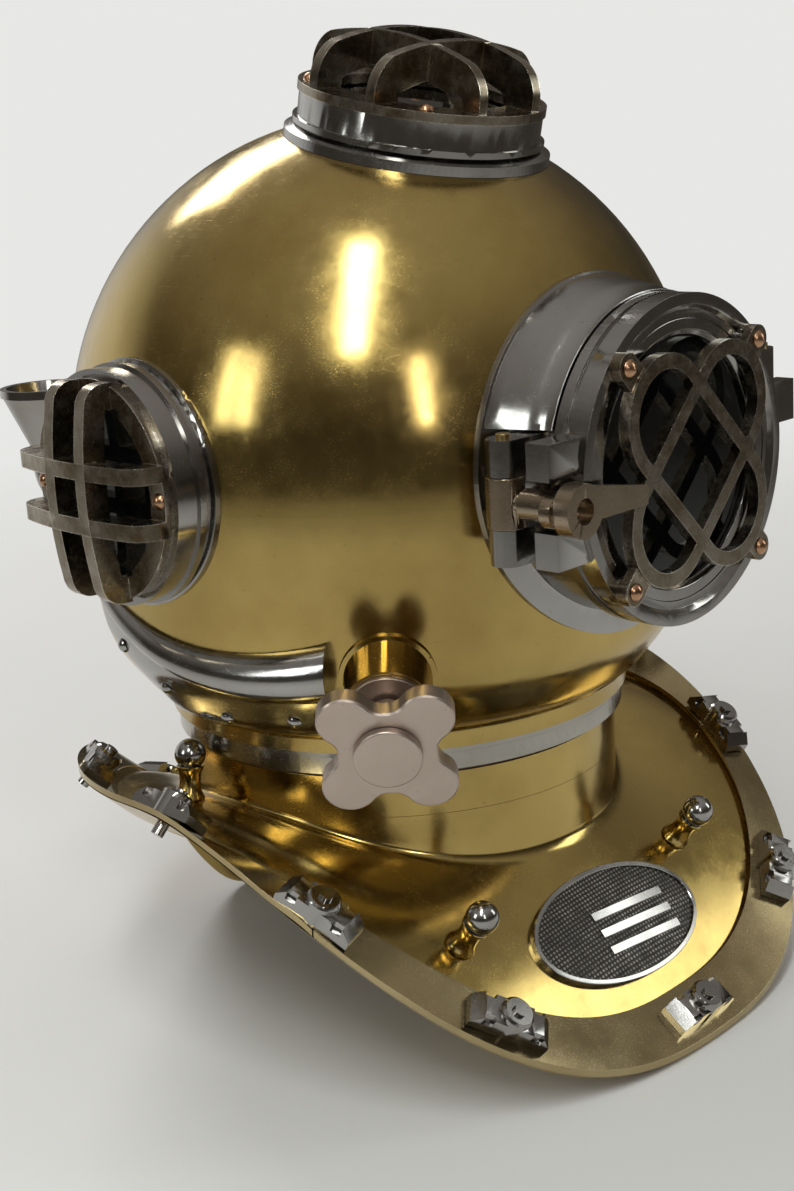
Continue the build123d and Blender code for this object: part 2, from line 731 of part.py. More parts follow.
def breastplate():
    """Saddle shaped brass breastplate with its outer flange."""
    bearings = [180 * step / HALF_STATIONS for step in range(HALF_STATIONS + 1)]
    half = Part() + Part(Solid.make_loft([sheet_section(bearing) for bearing in bearings]).wrapped)
    hole = rod(STUD_RADIUS + STUD_HOLE_GAP, -STUD_CUT_REACH, STUD_CUT_REACH)
    places = list(zip(STUD_ANGLES, stud_frames()))
    for bearing, place in places:
        if 0 < bearing < 180:
            half -= place.location * hole
    body = half + mirror(half, about=Plane.YZ)
    for bearing, place in places:
        if bearing % 180 == 0:
            body -= place.location * hole
    for place in KNOB_PLACES:
        body -= flare_frame(*place).location * rod(KNOB_STEM_RADIUS + SOLDER_GAP, -PLATE_SHEET * 2, PLATE_SHEET)
    floor = -RIM_LOW_DEPTH - plate_drop() - PLATE_SHEET + REST_CUT
    span = 2 * RIM_FRONT_REACH
    return body - slab((-span, span), (-span, span), (floor - span, floor))


def brail_section(bearing, lift=0.0, thickness=BRAIL_THICKNESS):
    """Square outline of a brail across the rim."""
    seam = curve_point(bearing, SEAM) + Vector(0, 0, lift)
    rim = curve_point(bearing, RIM) + Vector(0, 0, lift)
    low = Vector(0, 0, -thickness)
    return Wire.make_polygon([seam, rim, rim + low, seam + low], close=True)


def brail_loft(index, lift=0.0, thickness=BRAIL_THICKNESS):
    """One brail strap without its holes, lifted off the flange."""
    start, end = BRAIL_EDGES[index], BRAIL_EDGES[index + 1]
    trim = math.degrees(BRAIL_JOINT_GAP / RIM_HALF_WIDTH) / 2
    steps = round((end - start) / BRAIL_STATION_ANGLE)
    bearings = [start + trim + (end - start - 2 * trim) * step / steps for step in range(steps + 1)]
    sections = [brail_section(bearing, lift, thickness) for bearing in bearings]
    return Part(Solid.make_loft(sections).wrapped)


def brail(index):
    """One brail strap between two joints."""
    strap = brail_loft(index)
    for place in stud_frames():
        strap -= place.location * rod(STUD_RADIUS + STUD_HOLE_GAP, -STUD_CUT_REACH, STUD_CUT_REACH)
    return strap


def rim_middle(bearing):
    """Point midway across the brail top."""
    return (curve_point(bearing, RIM) + curve_point(bearing, SEAM)) / 2


def stud_frames():
    """Frames on the brail top under each wing nut."""
    frames = []
    for bearing in STUD_ANGLES:
        along = (rim_middle(bearing + 1) - rim_middle(bearing - 1)).normalized()
        across = curve_point(bearing, SEAM) - curve_point(bearing, RIM)
        normal = along.cross(across).normalized()
        normal = normal if normal.Z > 0 else -normal
        frames.append(Plane(origin=rim_middle(bearing), x_dir=along, z_dir=normal))
    return frames


def brail_studs():
    """Studs through the flange, brails and nuts."""
    low = -(BRAIL_THICKNESS + BRAIL_SEAT_GAP + PLATE_SHEET) - STUD_FOOT
    return [place.location * rod(STUD_RADIUS, low, NUT_HUB_HEIGHT + STUD_TIP) for place in stud_frames()]


def wing_nut():
    """Long winged nut with sloped ends and a round hub."""
    outline = Polyline(
        (-NUT_HALF_LENGTH, 0, SKIN_SEAT_GAP),
        (NUT_HALF_LENGTH, 0, SKIN_SEAT_GAP),
        (NUT_HALF_LENGTH, 0, NUT_WING_TIP_HEIGHT),
        (NUT_HALF_LENGTH - NUT_WING_SLOPE, 0, NUT_WING_HEIGHT),
        (-NUT_HALF_LENGTH + NUT_WING_SLOPE, 0, NUT_WING_HEIGHT),
        (-NUT_HALF_LENGTH, 0, NUT_WING_TIP_HEIGHT),
        close=True,
    )
    body = extrude(make_face(outline), amount=NUT_HALF_WIDTH, both=True)
    for end in (-1, 1):
        for side in (-1, 1):
            body -= Pos(
                end * NUT_HALF_LENGTH * NUT_NOTCH_SHARE, side * NUT_HALF_WIDTH, NUT_WING_HEIGHT
            ) * Box(NUT_NOTCH_WIDTH, 2 * NUT_NOTCH_DEPTH, NUT_WING_HEIGHT)
    body += turned([
        (0, SKIN_SEAT_GAP),
        (NUT_HUB_RADIUS, SKIN_SEAT_GAP),
        (NUT_HUB_RADIUS, NUT_HUB_HEIGHT - NUT_HUB_CHAMFER),
        (NUT_HUB_RADIUS - NUT_HUB_CHAMFER, NUT_HUB_HEIGHT),
        (0, NUT_HUB_HEIGHT),
    ])
    return body - rod(STUD_RADIUS + SOLDER_GAP, -NUT_HUB_HEIGHT, 2 * NUT_HUB_HEIGHT)


def wing_nuts():
    """All wing nuts in place."""
    nuts = [place.location * wing_nut() for place in stud_frames()]
    for index, (start, end) in enumerate(zip(BRAIL_EDGES, BRAIL_EDGES[1:])):
        seat = brail_loft(index, SKIN_SEAT_GAP, NUT_HUB_HEIGHT)
        for number, bearing in enumerate(STUD_ANGLES):
            turn = (bearing - (start + end) / 2 + 180) % 360 - 180
            if abs(turn) < (end - start) / 2 + NUT_REACH_ANGLE:
                nuts[number] -= seat
    return nuts


def flare_frame(bearing, share):
    """Frame on the breastplate surface looking out of it."""
    step = FLARE_STEP_SHARE
    point = flare_point(bearing, share)
    down = flare_point(bearing, share + step) - flare_point(bearing, share - step)
    along = flare_point(bearing + 1, share) - flare_point(bearing - 1, share)
    normal = along.cross(down).normalized()
    normal = normal if normal.Z > 0 else -normal
    return Plane(origin=point, x_dir=along.normalized(), z_dir=normal)


def lanyard_knobs():
    """Ball knobs on brass stems."""
    top = KNOB_FOOT_HEIGHT + KNOB_STEM_HEIGHT
    knob = turned([
        (0, -PLATE_SHEET / 2),
        (KNOB_STEM_RADIUS, -PLATE_SHEET / 2),
        (KNOB_STEM_RADIUS, KNOB_SEAT_GAP),
        (KNOB_FOOT_RADIUS, KNOB_SEAT_GAP),
        (KNOB_FOOT_RADIUS, KNOB_FOOT_HEIGHT),
        (KNOB_STEM_RADIUS, KNOB_FOOT_HEIGHT + KNOB_WAIST),
        (KNOB_STEM_RADIUS, top),
        (0, top),
    ])
    knob += Pos(0, 0, top + KNOB_BALL_RADIUS - KNOB_WAIST) * Sphere(KNOB_BALL_RADIUS)
    return [flare_frame(*place).location * knob for place in KNOB_PLACES]


def flare_block(lift):
    """Solid under the front of the breastplate, raised by a lift."""
    rise = flare_frame(PLATE_BEARING, PLATE_SHARE).z_dir * lift
    drop = Vector(0, 0, -CUT_REACH)
    sections = []
    for step in range(-PLATE_STATIONS, PLATE_STATIONS + 1):
        tops = [point + rise for point in flare_line(PLATE_BEARING + step * PLATE_STATION_ANGLE)]
        sections.append(Wire([
            Edge.make_spline(tops),
            Edge.make_line(tops[-1], tops[-1] + drop),
            Edge.make_line(tops[-1] + drop, tops[0] + drop),
            Edge.make_line(tops[0] + drop, tops[0]),
        ]))
    return Part() + Part(Solid.make_loft(sections).wrapped)


def name_plate():
    """Blank oval plate with a raised rim and three bars, bent to the breastplate."""
    turn = flare_frame(PLATE_BEARING, PLATE_SHARE).location * Rot(0, 0, PLATE_TURN)
    oval = extrude(Ellipse(PLATE_HALF_LENGTH, PLATE_HALF_WIDTH), amount=CUT_REACH, both=True)
    hollow = Ellipse(PLATE_HALF_LENGTH - PLATE_RIM_WIDTH, PLATE_HALF_WIDTH - PLATE_RIM_WIDTH)
    rim = oval - extrude(hollow, amount=CUT_REACH, both=True)
    bars = Part()
    for index in range(PLATE_BAR_COUNT):
        bar = Box(PLATE_BAR_LENGTH, PLATE_BAR_WIDTH, 2 * CUT_REACH)
        bars += Pos(PLATE_BAR_SHIFT, PLATE_BAR_DROP - index * PLATE_BAR_PITCH, 0) * bar
    back = flare_block(SKIN_SEAT_GAP)
    face = SKIN_SEAT_GAP + PLATE_THICKNESS
    plate = (turn * oval) & flare_block(face)
    plate += (turn * rim) & flare_block(face + PLATE_RIM_HEIGHT)
    plate += (turn * bars) & flare_block(face + PLATE_BAR_HEIGHT)
    return plate - back


def front_collar():
    """Front port collar with hinge lugs and latch lugs."""
    body = ring(FRONT_BORE_RADIUS, FRONT_TUBE_RADIUS, FRONT_TUBE_START, FRONT_FACE)
    body -= ring(SEAL_INNER_RADIUS, SEAL_OUTER_RADIUS, FRONT_FACE - SEAL_GROOVE_DEPTH, 2 * FRONT_FACE)
    bore = rod(FRONT_BORE_RADIUS + SKIRT_WALL, 0, 2 * FRONT_FACE)
    for low, high in ((HINGE_LOW, HINGE_MID_LOW - FIT_GAP), (HINGE_MID_HIGH + FIT_GAP, HINGE_HIGH)):
        lug = slab((HINGE_LUG_START_X - SKIRT_WALL, HINGE_X), (low, high), (HINGE_LUG_BACK, HINGE_LUG_FRONT))
        lug += hinge_barrel(KNUCKLE_RADIUS, low, high)
        body += (lug - bore) - hinge_barrel(PIN_RADIUS, 2 * HINGE_LOW, 2 * HINGE_HIGH)
    for low, high in latch_levels():
        y_range = (SWING_REACH - COLLAR_KNUCKLE_RADIUS, SWING_REACH + COLLAR_KNUCKLE_RADIUS)
        lug = slab((-LATCH_X, -LATCH_LUG_START_X), (low, high), y_range)
        lug += swing_barrel(COLLAR_KNUCKLE_RADIUS, low, high)
        lug -= swing_barrel(SWING_PIN_RADIUS, -BONNET_RADIUS, BONNET_RADIUS)
        body += lug - bore
    body = FRONT.location * body
    return body + seated_flange(
        FRONT, FRONT_TUBE_RADIUS - SKIRT_WALL, FRONT_FLANGE_RADIUS, FRONT_FACE, FLANGE_SKIN
    )


def latch_levels():
    """Heights of the lower and upper latch lugs from the port axis."""
    low = (-LATCH_DROP - LATCH_HALF_GAP - LATCH_LUG_HEIGHT, -LATCH_DROP - LATCH_HALF_GAP)
    high = (-LATCH_DROP + LATCH_HALF_GAP, -LATCH_DROP + LATCH_HALF_GAP + LATCH_LUG_HEIGHT)
    return (low, high)


def hinge_barrel(radius, low, high):
    """Upright bar at the faceplate hinge in the front port frame."""
    return Pos(HINGE_X, 0, HINGE_REACH) * Rot(-90, 0, 0) * rod(radius, low, high)


def swing_barrel(radius, low, high):
    """Upright bar at the swing bolt pivot in the front port frame."""
    return Pos(-LATCH_X, 0, SWING_REACH) * Rot(-90, 0, 0) * rod(radius, low, high)


def collar_hood():
    """Bright hood over the upper half of the front collar."""
    inner = FRONT_TUBE_RADIUS + SKIN_SEAT_GAP
    body = turned([
        (inner, HOOD_BACK),
        (HOOD_BASE_RADIUS, HOOD_BACK),
        (HOOD_BASE_RADIUS, HOOD_BASE_REACH),
        (HOOD_OUTER_RADIUS, HOOD_FRONT - HOOD_STEP_DEPTH),
        (HOOD_STEP_RADIUS, HOOD_FRONT - HOOD_STEP_DEPTH + HOOD_SHOULDER),
        (HOOD_STEP_RADIUS, HOOD_FRONT),
        (inner, HOOD_FRONT),
    ])
    body &= slab((-DOOR_FACE, DOOR_FACE), (HOOD_EDGE_HEIGHT, DOOR_FACE), (0, DOOR_FACE))
    body -= slab(
        (HINGE_LUG_START_X - KNUCKLE_RADIUS, 2 * HINGE_X),
        (0, HINGE_HIGH + FIT_GAP),
        (HINGE_LUG_BACK - KNUCKLE_RADIUS, DOOR_FACE),
    )
    return FRONT.location * body - bonnet_core(SKIN_SEAT_GAP + FLANGE_SKIN + SKIN_SEAT_GAP)


def faceplate_seal():
    """Soft ring in the collar face that the faceplate closes on."""
    low = FRONT_FACE - SEAL_GROOVE_DEPTH + SOLDER_GAP
    seal = ring(SEAL_INNER_RADIUS + SOLDER_GAP, SEAL_OUTER_RADIUS - SOLDER_GAP, low, FRONT_FACE)
    return FRONT.location * seal


def door_frame():
    """Faceplate ring with glass rebate, hinge arm and latch lugs."""
    body = turned([
        (DOOR_OPENING_RADIUS, DOOR_BACK),
        (DOOR_RADIUS, DOOR_BACK),
        (DOOR_RADIUS, DOOR_GROOVE_BACK),
        (DOOR_RADIUS - DOOR_GROOVE_DEPTH, DOOR_GROOVE_BACK),
        (DOOR_RADIUS - DOOR_GROOVE_DEPTH, DOOR_GROOVE_BACK + DOOR_GROOVE_WIDTH),
        (DOOR_RADIUS, DOOR_GROOVE_BACK + DOOR_GROOVE_WIDTH),
        (DOOR_RADIUS, DOOR_FACE),
        (DOOR_RIM_STEP_RADIUS, DOOR_FACE),
        (DOOR_RIM_STEP_RADIUS - DOOR_RIM_STEP, DOOR_FACE - DOOR_RIM_STEP),
        (DOOR_REBATE_RADIUS, DOOR_FACE - DOOR_RIM_STEP),
        (DOOR_REBATE_RADIUS, DOOR_BACK + DOOR_LIP),
        (DOOR_OPENING_RADIUS, DOOR_BACK + DOOR_LIP),
    ])
    clear = rod(DOOR_REBATE_RADIUS + SKIRT_WALL, 0, 2 * DOOR_FACE)
    for (low, high), end in zip(latch_levels(), (LOWER_LUG_END_X, UPPER_LUG_END_X)):
        lug = slab((-end, -LATCH_LUG_START_X), (low, high), (DOOR_LUG_BACK, DOOR_LUG_FRONT))
        body += lug - clear
    arm = slab(
        (HINGE_ARM_START_X, HINGE_ARM_END_X),
        (HINGE_MID_LOW, HINGE_MID_HIGH),
        (HINGE_ARM_BACK, HINGE_ARM_FRONT),
    )
    arm += hinge_barrel(KNUCKLE_RADIUS, HINGE_MID_LOW, HINGE_MID_HIGH)
    arm -= hinge_barrel(PIN_RADIUS + PIN_RUNNING_GAP, -BONNET_RADIUS, BONNET_RADIUS)
    body += arm - clear
    hole = rod(EAR_SCREW_RADIUS, DOOR_FACE - EAR_SCREW_DEPTH, DOOR_FACE)
    inside = rod(DOOR_REBATE_RADIUS + EAR_INSET, 0, 2 * DOOR_FACE)
    for place in ear_places():
        body -= place * hole
        ear = place * ring(EAR_SCREW_RADIUS, EAR_RADIUS, DOOR_FACE - 2 * DOOR_RIM_STEP, DOOR_FACE)
        body += ear - inside
    return FRONT.location * body


def ear_places():
    """Places of the four guard ears on the faceplate."""
    pad = EAR_CIRCLE_RADIUS * math.sin(math.radians(45))
    return [Pos(x_side * pad, y_side * pad, 0) for x_side in (-1, 1) for y_side in (-1, 1)]


def hinge_pin():
    """Pin through the faceplate hinge."""
    top = HINGE_HIGH + PIN_HEAD_HEIGHT
    pin = hinge_barrel(PIN_RADIUS - SOLDER_GAP, HINGE_LOW - PIN_HEAD_HEIGHT, top)
    pin += hinge_barrel(PIN_HEAD_RADIUS, HINGE_HIGH + SKIN_SEAT_GAP, top)
    return FRONT.location * pin


def swing_pin():
    """Pin through the swing bolt eye and collar lugs."""
    low, high = latch_levels()
    return FRONT.location * swing_barrel(SWING_PIN_RADIUS - SOLDER_GAP, low[0], high[1] + PIN_HEAD_HEIGHT)


def swing_bolt():
    """Eye bolt that swings between the latch lugs."""
    low = -LATCH_DROP - LATCH_HALF_GAP + FIT_GAP
    high = -LATCH_DROP + LATCH_HALF_GAP - FIT_GAP
    bolt = swing_barrel(EYE_RADIUS, low, high)
    bolt += Pos(-LATCH_X, -LATCH_DROP, 0) * rod(ROD_RADIUS, SWING_REACH, ROD_END)
    bolt -= swing_barrel(SWING_PIN_RADIUS + PIN_RUNNING_GAP, -BONNET_RADIUS, BONNET_RADIUS)
    return FRONT.location * bolt


def latch_lever():
    """Lever nut with an oblong clamping foot, shown released."""
    foot = SlotOverall(2 * LEVER_FOOT_HALF_LENGTH, 2 * LEVER_COLLAR_RADIUS)
    body = Pos(0, 0, LEVER_FOOT_BACK) * extrude(foot, amount=LEVER_FOOT_FRONT - LEVER_FOOT_BACK)
    body += rod(LEVER_BOSS_RADIUS, LEVER_FOOT_FRONT, LEVER_BOSS_FRONT)
    body += rod(LEVER_COLLAR_RADIUS, LEVER_COLLAR_BACK, LEVER_FOOT_FRONT + SOLDER_GAP)
    arm = Polyline(
        (0, -LEVER_ARM_DROP, LEVER_ARM_BACK),
        (LEVER_ARM_REACH, -LEVER_ARM_DROP, LEVER_ARM_BACK),
        (LEVER_ARM_REACH, LEVER_ARM_TIP_RISE, LEVER_ARM_BACK),
        (0, LEVER_ARM_ROOT_RISE, LEVER_ARM_BACK),
        close=True,
    )
    body += extrude(make_face(arm), amount=LEVER_BOSS_FRONT - LEVER_ARM_BACK, dir=(0, 0, 1))
    body -= rod(ROD_RADIUS + THREAD_RUNNING_GAP, 0, ROD_END + 2 * FIT_GAP)
    body -= rod(LEVER_BORE_MOUTH_RADIUS, ROD_END + FIT_GAP, 2 * LEVER_BOSS_FRONT)
    return FRONT.location * Pos(-LATCH_X, -LATCH_DROP, 0) * body


def door_glass_levels():
    """Back and front of the faceplate glass."""
    back = DOOR_BACK + DOOR_LIP + GASKET_THICKNESS + SKIN_SEAT_GAP
    return back, back + GLASS_THICKNESS


def door_gasket():
    """Soft ring behind the faceplate glass."""
    low = DOOR_BACK + DOOR_LIP + SOLDER_GAP
    outer = DOOR_REBATE_RADIUS - SKIN_SEAT_GAP
    return FRONT.location * ring(DOOR_OPENING_RADIUS, outer, low, low + GASKET_THICKNESS)


def door_glass():
    """Faceplate window."""
    back, front = door_glass_levels()
    return FRONT.location * rod(DOOR_REBATE_RADIUS - SKIN_SEAT_GAP, back, front)


def door_retaining_ring():
    """Ring that holds the faceplate glass."""
    low = door_glass_levels()[1] + SKIN_SEAT_GAP
    outer = DOOR_REBATE_RADIUS - SOLDER_GAP
    body = turned([
        (RETAINER_INNER_RADIUS, low),
        (outer, low),
        (outer, low + RETAINER_THICKNESS),
        (RETAINER_INNER_RADIUS + RETAINER_THICKNESS / 2, low + RETAINER_THICKNESS),
        (RETAINER_INNER_RADIUS, low + RETAINER_THICKNESS / 2),
    ])
    return FRONT.location * body


def door_guard():
    """Two crossed oblong rings with four screw ears."""
    half = GUARD_BAR_WIDTH / 2
    length = 2 * (GUARD_END_OFFSET + GUARD_BAND_RADIUS)
    outer = SlotOverall(length + GUARD_BAR_WIDTH, 2 * GUARD_BAND_RADIUS + GUARD_BAR_WIDTH)
    inner = SlotOverall(length - GUARD_BAR_WIDTH, 2 * GUARD_BAND_RADIUS - GUARD_BAR_WIDTH)
    oblong = extrude(outer - inner, amount=GUARD_FRONT - GUARD_BAR_BACK)
    oblong = Pos(0, 0, GUARD_BAR_BACK) * oblong
    body = Rot(0, 0, 45) * oblong + Rot(0, 0, -45) * oblong
    window = Pos(0, 0, GUARD_BAR_BACK) * extrude(inner, amount=GUARD_FRONT - GUARD_BAR_BACK)
    tongue = EAR_CIRCLE_RADIUS - GUARD_END_OFFSET - GUARD_BAND_RADIUS
    for turn in (45, 135, 225, 315):
        ear = Pos(EAR_CIRCLE_RADIUS, 0, 0) * rod(EAR_RADIUS, GUARD_BACK, EAR_FRONT)
        neck = slab(
            (EAR_CIRCLE_RADIUS - tongue - half / 2, EAR_CIRCLE_RADIUS),
            (-EAR_RADIUS, EAR_RADIUS),
            (GUARD_BAR_BACK, EAR_FRONT),
        )
        screw = Pos(EAR_CIRCLE_RADIUS, 0, 0) * rod(EAR_SCREW_RADIUS + SOLDER_GAP, 0, 2 * GUARD_FRONT)
        body += Rot(0, 0, turn) * (ear + neck - window - screw)
    return FRONT.location * body


def door_guard_screws():
    """Domed screws through the guard ears."""
    shank = rod(EAR_SCREW_RADIUS - SOLDER_GAP, DOOR_FACE - EAR_SCREW_DEPTH + FIT_GAP, EAR_FRONT + FIT_GAP)
    head = dome(EAR_SCREW_HEAD_RADIUS, EAR_SCREW_HEAD_HEIGHT, EAR_FRONT + SKIN_SEAT_GAP)
    return [FRONT.location * place * (shank + head) for place in ear_places()]


def side_collar():
    """Collar of the diver's right port."""
    body = turned([
        (SIDE_BORE_RADIUS, SIDE_TUBE_START),
        (SIDE_TUBE_RADIUS, SIDE_TUBE_START),
        (SIDE_TUBE_RADIUS, SIDE_BEAD_LOW),
        (SIDE_BEAD_RADIUS, SIDE_BEAD_LOW),
        (SIDE_BEAD_RADIUS, SIDE_BEAD_HIGH),
        (SIDE_TUBE_RADIUS, SIDE_BEAD_HIGH),
        (SIDE_TUBE_RADIUS, SIDE_COLLAR_FRONT),
        (SIDE_REBATE_RADIUS, SIDE_COLLAR_FRONT),
        (SIDE_REBATE_RADIUS, SIDE_COLLAR_FRONT - SIDE_REBATE_DEPTH),
        (SIDE_BORE_RADIUS, SIDE_COLLAR_FRONT - SIDE_REBATE_DEPTH),
    ])
    hole = rod(SIDE_SCREW_RADIUS, SIDE_FACE - SIDE_SCREW_DEPTH, SIDE_FACE)
    for side in (-1, 1):
        body -= Pos(side * SIDE_SCREW_CIRCLE, 0, 0) * hole
    return RIGHT.location * body + seated_flange(
        RIGHT, SIDE_TUBE_RADIUS - SKIRT_WALL, SIDE_FLANGE_RADIUS, SIDE_COLLAR_FRONT, FLANGE_SKIN
    )


def window_set(frame, rebate_radius, bore_radius, rebate_floor):
    """Gasket and glass dropped into a port rebate."""
    outer = rebate_radius - SKIN_SEAT_GAP
    low = rebate_floor + SOLDER_GAP
    gasket = frame.location * ring(bore_radius, outer, low, low + GASKET_THICKNESS)
    back = low + GASKET_THICKNESS + SOLDER_GAP
    glass = frame.location * rod(outer, back, back + GLASS_THICKNESS)
    return gasket, glass


def fin(end, crest, end_height, depth, thickness, offset, low):
    """Guard fin along X at an offset in Y, flat crowned with steep shoulders."""
    shoulder = low + end_height
    knee_x = end * FIN_KNEE_SHARE
    knee_y = shoulder + (crest - shoulder) * FIN_KNEE_RISE_SHARE
    outer = make_face([
        TangentArc((-end, shoulder), (-knee_x, knee_y), tangent=(0, 1)),
        ThreePointArc((-knee_x, knee_y), (0, crest), (knee_x, knee_y)),
        TangentArc((end, shoulder), (knee_x, knee_y), tangent=(0, 1)),
        Polyline((end, shoulder), (end, low), (-end, low), (-end, shoulder)),
    ])
    foot = end - depth
    vault = ThreePointArc((-foot, shoulder), (0, crest - depth), (foot, shoulder))
    base = low - end_height
    inner = make_face([vault, Polyline((foot, shoulder), (foot, base), (-foot, base), (-foot, shoulder))])
    blade = extrude(outer, amount=thickness / 2, both=True) - extrude(inner, amount=thickness, both=True)
    return Pos(0, offset, 0) * Rot(90, 0, 0) * blade


def grid_guard(base, face, crest, offset, end, end_height, depth, thickness):
    """Ring with two pairs of crossed arched fins."""
    pairs = []
    for turn in (0, 90):
        blades = [fin(end, crest, end_height, depth, thickness, side * offset, face) for side in (-1, 1)]
        pairs.append(Rot(0, 0, turn) * (blades[0] + blades[1]))
    return (pairs[0] + pairs[1]) + base


def side_guard():
    """Guard of the diver's right port."""
    low = SIDE_COLLAR_FRONT + SKIN_SEAT_GAP
    base = ring(SIDE_RING_INNER_RADIUS, SIDE_RING_RADIUS, low, SIDE_FACE)
    guard = grid_guard(
        base,
        SIDE_FACE - FIN_ROOT_DEPTH,
        SIDE_GUARD_CREST,
        SIDE_GUARD_OFFSET,
        SIDE_FIN_END,
        SIDE_FIN_END_HEIGHT,
        SIDE_FIN_DEPTH,
        SIDE_FIN_THICKNESS,
    )
    for side in (-1, 1):
        guard -= Pos(side * SIDE_SCREW_CIRCLE, 0, 0) * rod(SIDE_SCREW_RADIUS + SOLDER_GAP, 0, SIDE_FACE)
    return RIGHT.location * guard


def side_guard_screws():
    """Two domed screws of the diver's right port guard."""
    shank = rod(
        SIDE_SCREW_RADIUS - SOLDER_GAP, SIDE_FACE - SIDE_SCREW_DEPTH + FIT_GAP, SIDE_FACE + FIT_GAP
    )
    screw = shank + dome(SIDE_SCREW_HEAD_RADIUS, SIDE_SCREW_HEAD_HEIGHT, SIDE_FACE + SKIN_SEAT_GAP)
    return [RIGHT.location * Pos(side * SIDE_SCREW_CIRCLE, 0, 0) * screw for side in (-1, 1)]


def top_collar():
    """Collar of the top light."""
    body = turned([
        (TOP_BORE_RADIUS, TOP_TUBE_START),
        (TOP_TUBE_RADIUS, TOP_TUBE_START),
        (TOP_TUBE_RADIUS, TOP_BEAD_LOW),
        (TOP_BEAD_RADIUS, TOP_BEAD_LOW),
        (TOP_BEAD_RADIUS, TOP_BEAD_HIGH),
        (TOP_TUBE_RADIUS, TOP_BEAD_HIGH),
        (TOP_TUBE_RADIUS, TOP_COLLAR_FRONT),
        (TOP_REBATE_RADIUS, TOP_COLLAR_FRONT),
        (TOP_REBATE_RADIUS, TOP_COLLAR_FRONT - TOP_REBATE_DEPTH),
        (TOP_BORE_RADIUS, TOP_COLLAR_FRONT - TOP_REBATE_DEPTH),
    ])
    for place in top_screw_places():
        body -= place * rod(SIDE_SCREW_RADIUS, TOP_FACE - SIDE_SCREW_DEPTH, TOP_FACE)
    return TOP.location * body + seated_flange(
        TOP, TOP_TUBE_RADIUS - SKIRT_WALL, TOP_FLANGE_RADIUS, TOP_COLLAR_FRONT, TOP_FLANGE_SKIN
    )


def top_screw_places():
    """Places of the top guard screws."""
    step = 360 / TOP_SCREW_COUNT
    return [Rot(0, 0, (index + 0.5) * step) * Pos(TOP_SCREW_CIRCLE, 0, 0) for index in range(TOP_SCREW_COUNT)]


def top_guard():
    """Guard of the top light."""
    low = TOP_COLLAR_FRONT + SKIN_SEAT_GAP
    base = ring(TOP_DISC_INNER_RADIUS, TOP_DISC_RADIUS, low, TOP_FACE)
    guard = grid_guard(
        base,
        TOP_FACE - FIN_ROOT_DEPTH,
        TOP_GUARD_CREST,
        TOP_GUARD_OFFSET,
        TOP_FIN_END,
        TOP_FIN_END_HEIGHT,
        TOP_FIN_DEPTH,
        TOP_FIN_THICKNESS,
    )
    for place in top_screw_places():
        guard -= place * rod(SIDE_SCREW_RADIUS + SOLDER_GAP, 0, TOP_FACE)
    return TOP.location * guard


def top_guard_screws():
    """Screws of the top light guard."""
    shank = rod(
        SIDE_SCREW_RADIUS - SOLDER_GAP, TOP_FACE - SIDE_SCREW_DEPTH + FIT_GAP, TOP_FACE + FIT_GAP
    )
    screw = shank + dome(SIDE_SCREW_HEAD_RADIUS, SIDE_SCREW_HEAD_HEIGHT, TOP_FACE + SKIN_SEAT_GAP)
    return [TOP.location * place * screw for place in top_screw_places()]


def exhaust_valve_body():
    """Valve housing soldered into the bonnet."""
    body = turned([
        (VALVE_SEAT_BORE, VALVE_SEAT_BACK),
        (VALVE_BORE, VALVE_SEAT_BACK),
        (VALVE_BORE, VALVE_START),
        (VALVE_RADIUS, VALVE_START),
        (VALVE_RADIUS, VALVE_FRONT),
        (VALVE_BORE, VALVE_FRONT),
        (VALVE_BORE, VALVE_SEAT_FRONT),
        (VALVE_SEAT_BORE, VALVE_SEAT_FRONT),
    ])
    guide = ring(VALVE_STEM_RADIUS + STEM_RUNNING_GAP, 2 * VALVE_STEM_RADIUS, VALVE_SEAT_BACK, VALVE_SEAT_FRONT)
    spoke = slab(
        (-VALVE_SEAT_BORE - VALVE_STEM_RADIUS, VALVE_SEAT_BORE + VALVE_STEM_RADIUS),
        (-VALVE_STEM_RADIUS / 2, VALVE_STEM_RADIUS / 2),
        (VALVE_SEAT_BACK, VALVE_SEAT_FRONT),
    )
    spoke -= rod(2 * VALVE_STEM_RADIUS - SOLDER_GAP, 2 * VALVE_SEAT_BACK, VALVE_FRONT)
    body += guide + spoke
    side_hole = Rot(0, -90, 0) * rod(VALVE_SIDE_HOLE, VALVE_SEAT_BORE, 2 * VALVE_RADIUS)
    body -= Pos(0, 0, VALVE_SIDE_HOLE_PLACE) * side_hole
    body = VALVE.location * body
    reach = VALVE_FRONT - VALVE_START
    band = VALVE.location * ring(VALVE_RADIUS - SKIRT_WALL, VALVE_FLANGE_RADIUS, -reach, reach)
    flange = (band & bonnet_core(SKIN_SEAT_GAP + FLANGE_SKIN)) - bonnet_core(SKIN_SEAT_GAP)
    return body + flange


def exhaust_cap():
    """Cap closing the front of the valve housing."""
    body = turned([
        (WHEEL_SLEEVE_RADIUS + STEM_RUNNING_GAP, VALVE_FRONT - VALVE_CAP_PLUG),
        (VALVE_BORE - SOLDER_GAP, VALVE_FRONT - VALVE_CAP_PLUG),
        (VALVE_BORE - SOLDER_GAP, VALVE_FRONT + SOLDER_GAP),
        (VALVE_CAP_RADIUS, VALVE_FRONT + SOLDER_GAP),
        (VALVE_CAP_RADIUS, VALVE_CAP_FRONT),
        (WHEEL_SLEEVE_RADIUS + STEM_RUNNING_GAP, VALVE_CAP_FRONT),
    ])
    return VALVE.location * body


